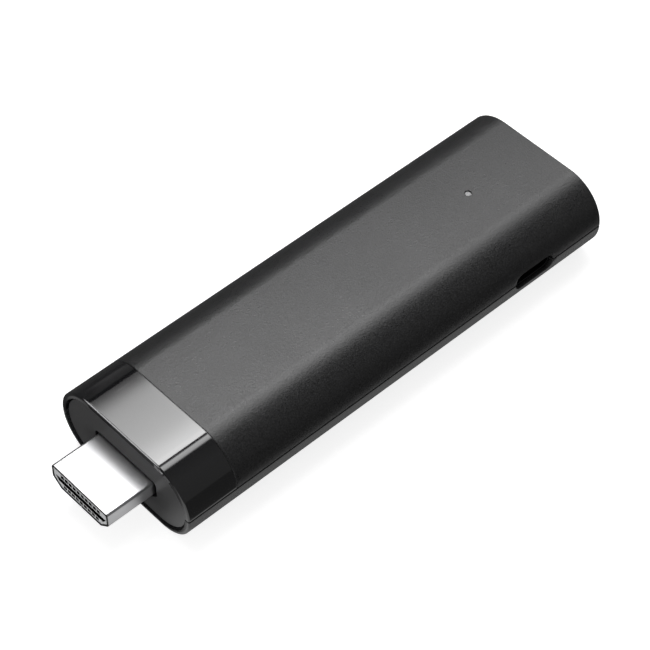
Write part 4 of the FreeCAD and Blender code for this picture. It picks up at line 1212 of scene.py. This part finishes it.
# Pieces that keep their solids, by their finish
KEPT = {
    "board": ["main_board"],
    "screw": ["board_screws"],
    "black": ["usb_insulator"],
    "led": ["status_led"],
    "red": ["switch_plunger"],
    "chip": ["processor", "memory_chips", "flash_chip", "power_chip", "hdmi_filters"],
    "inductor": ["power_inductors"],
    "can": ["switch_body", "crystal", "shield_frame", "shield_lid", "lower_shield", "wireless_module",
            "antenna_left", "antenna_right"],
    "sink": ["heat_sink", "heat_plate"],
    "pad": ["chip_pad", "thermal_pad_upper", "thermal_pad_lower"],
}


class STICK_OT_kept_pieces(bpy.types.Operator):
    """Finishes of the pieces that keep their solids"""
    bl_idname = "stick.kept_pieces"
    bl_label = "Kept pieces"

    def execute(self, context):
        made = {
            "board": board_material(),
            "screw": metal_material("screw_plating", (0.36, 0.36, 0.38), 0.35),
            "black": moulded_material("port_block", (0.02, 0.02, 0.021), 0.45),
            "led": moulded_material("led_body", (0.82, 0.82, 0.7), 0.35, wear_and_highlight=1.1),
            "red": moulded_material("plunger_plastic", (0.5, 0.09, 0.07), 0.4, wear_and_highlight=1.3),
            "chip": moulded_material("chip_compound", (0.028, 0.028, 0.03), 0.55, scale=5000.0),
            "inductor": moulded_material("inductor_core", (0.07, 0.07, 0.075), 0.6, scale=4000.0),
            "can": metal_material("tinned_sheet", (0.62, 0.62, 0.63), 0.34),
            "sink": metal_material("extruded_aluminium", (0.72, 0.73, 0.74), 0.38),
            "pad": moulded_material("soft_pad", (0.33, 0.44, 0.6), 0.7, scale=3000.0, wear_and_highlight=1.1),
        }
        for kind, nodes in KEPT.items():
            for node in nodes:
                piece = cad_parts[node]
                piece.data.materials.clear()
                piece.data.materials.append(made[kind])
        return {"FINISHED"}


# Stage

# Light of the cards as pairs of place and level: across the flat top on the band and on the matte part,
# from the flat top to the band card's end, across the far and the near strip, and along both cards
FLAT_LEVELS = ((0, 0.0), (0.1, 0.17), (0.2, 0.48), (0.55, 0.545), (0.8, 0.6), (1, 0.95))
MATTE_LEVELS = ((0, 0.0), (0.15, 0.62), (0.5, 0.75), (1, 0.6))
BAND_END = [(0.97, 1), (1, 0.8)]
FAR_LEVELS = ((0, 0.5), (0.36, 1), (1, 0))
STRIP_LEVELS = ((0, 0), (0.2, 1), (0.75, 0.75), (1, 0))
START_LEVELS = ((0, 0), (1, 1))
LENGTH_LEVELS = ((0, 1), (0.6, 0.62))
# Level of the matte part's card where the near side stops showing the band's card
NEAR_LEVEL = 0.62
# Strength of the near strip as a share of the cards' strength
STRIP_SHARE = 0.55

# What the stick mirrors: the least level, and two places across with the level at each, for the world,
# the floor by the plug and the floor beside the casing, whose light ends at the last two places
REFLECTED = 0.08
WORLD_GLOW = (0.1, -0.6, 0.75*REFLECTED, 1.9*REFLECTED)
PLUG_GLOW = (-12*MM, -6*MM, 0.74, 0.04)
SIDE_GLOW = (HALF_WIDTH - 3*MM, HALF_WIDTH + 4.5*MM, 0.03, 0.7)
SIDE_END = (HALF_WIDTH + 6*MM, HALF_WIDTH + 5*MM)
# Where the floor's light by the plug begins and where the light beside the casing begins, along X
BEFORE_FRONT = (FRONT_X + 6*MM, FRONT_X - 2*MM)
BEHIND_FRONT = (FRONT_X - MM, FRONT_X + MM)


def seen_in(point, normal, height):
    """Where a mirror at a point of the stick shows a level card to the camera."""
    eye = Vector(bpy.context.scene.stick_stage.camera_place)
    ray = (point - eye).normalized().reflect(normal)
    return point + ray*(height - point.z)/ray.z


def seen_on_round(side, degrees, height):
    """Where a card lies that the band's front edge shows, at an angle past the flat top."""
    radius = TOP_Z - SEAM_Z
    a = math.radians(degrees)
    normal = Vector((0, side*math.sin(a), math.cos(a)))
    centre = Vector((FRONT_X, side*(HALF_WIDTH - radius), SEAM_Z))
    return seen_in(centre + normal*radius, normal, height)


def flat_sheet(name, corners):
    """Object of one flat face."""
    bm = bmesh.new()
    bm.faces.new([bm.verts.new(corner) for corner in corners])
    return mesh_object(name, bm)


def card(name, corners, ramps, strength):
    """Bright card; along each axis in ramps its light changes between two places as the levels say."""
    thing = flat_sheet(name, corners)
    material, nodes, place = new_material(name)
    axes = nodes.axes(place)
    level = strength
    for axis, low, high, levels in ramps:
        ramp = nodes.add("ShaderNodeValToRGB", Fac=nodes.spread(axes[axis], low, high))
        stops = ramp.color_ramp.elements
        while len(stops) < len(levels):
            stops.new(1.0)
        for stop, (at, value) in zip(stops, levels):
            stop.position = at
            stop.color = (value, value, value, 1.0)
        level = nodes.math("MULTIPLY", ramp.outputs[0], level)
    light = nodes.add("ShaderNodeEmission", Strength=level)
    nodes.add("ShaderNodeOutputMaterial", Surface=light.outputs[0])
    thing.data.materials.append(material)
    thing.visible_camera = False
    thing.visible_shadow = False
    return thing


def level_corners(x0, x1, y0, y1, z):
    """Corners of a level rectangle."""
    return [(x, y, z) for y, x in rectangle(y0, y1, x0, x1)]


def floor_material():
    """Pale floor: white where the camera sees it in the light, and it keeps the shadow."""
    material, nodes, place = new_material("pale_floor")
    path = nodes.add("ShaderNodeLightPath").outputs
    dull = nodes.add("ShaderNodeBsdfDiffuse", Color=(0.28, 0.28, 0.28, 1.0))
    pale = nodes.add("ShaderNodeBsdfDiffuse", Color=(0.5, 0.5, 0.5, 1.0))
    shine = nodes.add("ShaderNodeEmission", Strength=0.8)
    seen = nodes.add("ShaderNodeAddShader", i0=pale.outputs[0], i1=shine.outputs[0])
    axes = nodes.axes(place)
    before = nodes.spread(axes["X"], *BEFORE_FRONT)
    by_plug = nodes.math("MULTIPLY", before, nodes.spread(axes["Y"], *PLUG_GLOW))
    across = nodes.math("ABSOLUTE", axes["Y"])
    beside = nodes.math("MULTIPLY", nodes.spread(across, *SIDE_GLOW), nodes.spread(across, *SIDE_END))
    beside = nodes.math("MULTIPLY", beside, nodes.spread(axes["X"], *BEHIND_FRONT))
    level = nodes.math("MAXIMUM", nodes.math("MAXIMUM", by_plug, beside), REFLECTED)
    gloss = nodes.add("ShaderNodeEmission", Strength=level)
    reflected = nodes.math("MAXIMUM", path["Is Glossy Ray"], path["Is Transmission Ray"])
    low = nodes.add("ShaderNodeMixShader", i0=reflected, i1=dull.outputs[0], i2=gloss.outputs[0])
    mixed = nodes.add("ShaderNodeMixShader", i0=path["Is Camera Ray"], i1=low.outputs[0],
                      i2=seen.outputs[0])
    nodes.add("ShaderNodeOutputMaterial", Surface=mixed.outputs[0])
    return material


def world_light():
    """Dim light all round, mirrored brighter on the near side, and white behind everything."""
    world = bpy.context.scene.world or bpy.data.worlds.new("studio")
    bpy.context.scene.world = world
    world.use_nodes = True
    nodes = Nodes(world.node_tree)
    path = nodes.add("ShaderNodeLightPath").outputs
    way = nodes.add("ShaderNodeTexCoord").outputs["Generated"]
    reflected = nodes.spread(nodes.axes(way)["Y"], *WORLD_GLOW)
    level = nodes.blend(path["Is Camera Ray"], nodes.blend(path["Is Glossy Ray"], 0.34, reflected), 1.0)
    back = nodes.add("ShaderNodeBackground", Color=(1.0, 1.0, 1.0, 1.0), Strength=level)
    nodes.add("ShaderNodeOutputWorld", Surface=back.outputs[0])


def place_camera():
    """Camera at the place that was fitted to the photograph."""
    s = bpy.context.scene.stick_stage
    way = Vector(s.camera_way).normalized()
    right = Vector(s.camera_right).normalized()
    data = bpy.data.cameras.new("camera")
    data.lens = s.lens
    data.sensor_width = 36.0
    camera = new_object("camera", data)
    turn = Matrix((right, right.cross(way), -way)).transposed()
    camera.matrix_world = Matrix.Translation(Vector(s.camera_place)) @ turn.to_4x4()
    bpy.context.scene.camera = camera


def lay_floor():
    """Wide floor under the stick."""
    half = bpy.context.scene.stick_stage.floor_size/2
    floor = flat_sheet("floor", [(x, y, FLOOR_Z) for x, y in rectangle(-half, half, -half, half)])
    floor.data.materials.append(floor_material())


def hang_cards():
    """Bright cards above the stick, where the camera sees them mirrored in it, and one before it."""
    s = bpy.context.scene.stick_stage
    height = TOP_Z + s.card_height
    ends = [seen_on_round(side, degrees, height).y for side, degrees in
            ((1, s.card_left), (1, 0), (-1, 0), (-1, s.card_right))]
    reach = ends[3] - ends[0]
    flat_start, flat_end = ((end - ends[0])/reach for end in ends[1:3])

    def over_flat(levels):
        return [(flat_start + (flat_end - flat_start)*at, level) for at, level in levels]

    card("band_light", level_corners(s.card_start, s.card_split, ends[0], ends[3], height),
         [("Y", ends[0], ends[3], [(0, 0)] + over_flat(FLAT_LEVELS) + BAND_END),
          ("X", s.card_start, s.card_start + s.card_fade, START_LEVELS)], s.card_strength)
    near, far = (seen_on_round(1, degrees, height) for degrees in (s.far_from, s.far_to))
    along = Vector((s.far_width, 0, 0))
    card("far_light", [near, near + along, far + along, far], [("Y", near.y, far.y, FAR_LEVELS)],
         s.far_strength)
    edges = [seen_on_round(-1, degrees, height).y for degrees in (s.strip_from, s.strip_to)]
    card("strip_light", level_corners(s.card_start, s.card_split, *edges, height),
         [("Y", *edges, STRIP_LEVELS)], s.card_strength*STRIP_SHARE)
    side = seen_on_round(-1, s.side_to, height).y
    near_side = reach/(side - ends[0])
    matte = [(at*near_side, level) for at, level in over_flat(MATTE_LEVELS)]
    card("matte_light", level_corners(s.card_split, s.card_end, ends[0], side, height),
         [("Y", ends[0], side, [(0, 0), *matte, (near_side, NEAR_LEVEL), (1, 0)]),
          ("X", s.card_split, s.card_end, LENGTH_LEVELS)], s.card_strength)
    front, half = FRONT_X - s.front_distance, s.front_width/2
    corners = [(front, y, z) for y, z in rectangle(-half, half, s.front_low, s.front_high)]
    card("front_light", corners, [], s.front_strength).visible_glossy = False


class STICK_OT_stage(bpy.types.Operator):
    """Camera, lights and floor"""
    bl_idname = "stick.stage"
    bl_label = "Stage"

    def execute(self, context):
        place_camera()
        lay_floor()
        hang_cards()
        world_light()
        context.scene.view_settings.view_transform = "Standard"
        return {"FINISHED"}


OPERATORS = (
    STICK_OT_upper_housing, STICK_OT_lower_cover, STICK_OT_front_cap, STICK_OT_plug_shell,
    STICK_OT_plug_block, STICK_OT_rows, STICK_OT_port_shell, STICK_OT_status_window, STICK_OT_reset_button,
    STICK_OT_kept_pieces, STICK_OT_stage,
)


class STICK_PT_panel(bpy.types.Panel):
    """Lists the sizes, colours and steps of the stick"""
    bl_label = "Streaming stick"
    bl_idname = "STICK_PT_panel"
    bl_space_type = "VIEW_3D"
    bl_region_type = "UI"
    bl_category = "Stick"

    def draw(self, context):
        for name, kind in GROUPS.items():
            box = self.layout.box()
            box.label(text=kind.__doc__)
            for key in kind.__annotations__:
                box.prop(getattr(context.scene, name), key)
        for operator in OPERATORS:
            self.layout.operator(operator.bl_idname)


def register():
    """Registers the classes and puts the sizes on the scene."""
    for kind in (*GROUPS.values(), *OPERATORS, STICK_PT_panel):
        bpy.utils.register_class(kind)
    for name, kind in GROUPS.items():
        setattr(bpy.types.Scene, name, PointerProperty(type=kind))


def unregister():
    """Removes the sizes and the classes."""
    for name in GROUPS:
        delattr(bpy.types.Scene, name)
    for kind in (STICK_PT_panel, *reversed(OPERATORS), *GROUPS.values()):
        bpy.utils.unregister_class(kind)


def main():
    """Builds every piece and the stage."""
    register()
    for operator in OPERATORS:
        module, name = operator.bl_idname.split(".")
        getattr(getattr(bpy.ops, module), name)()


if __name__ == "__main__":
    main()
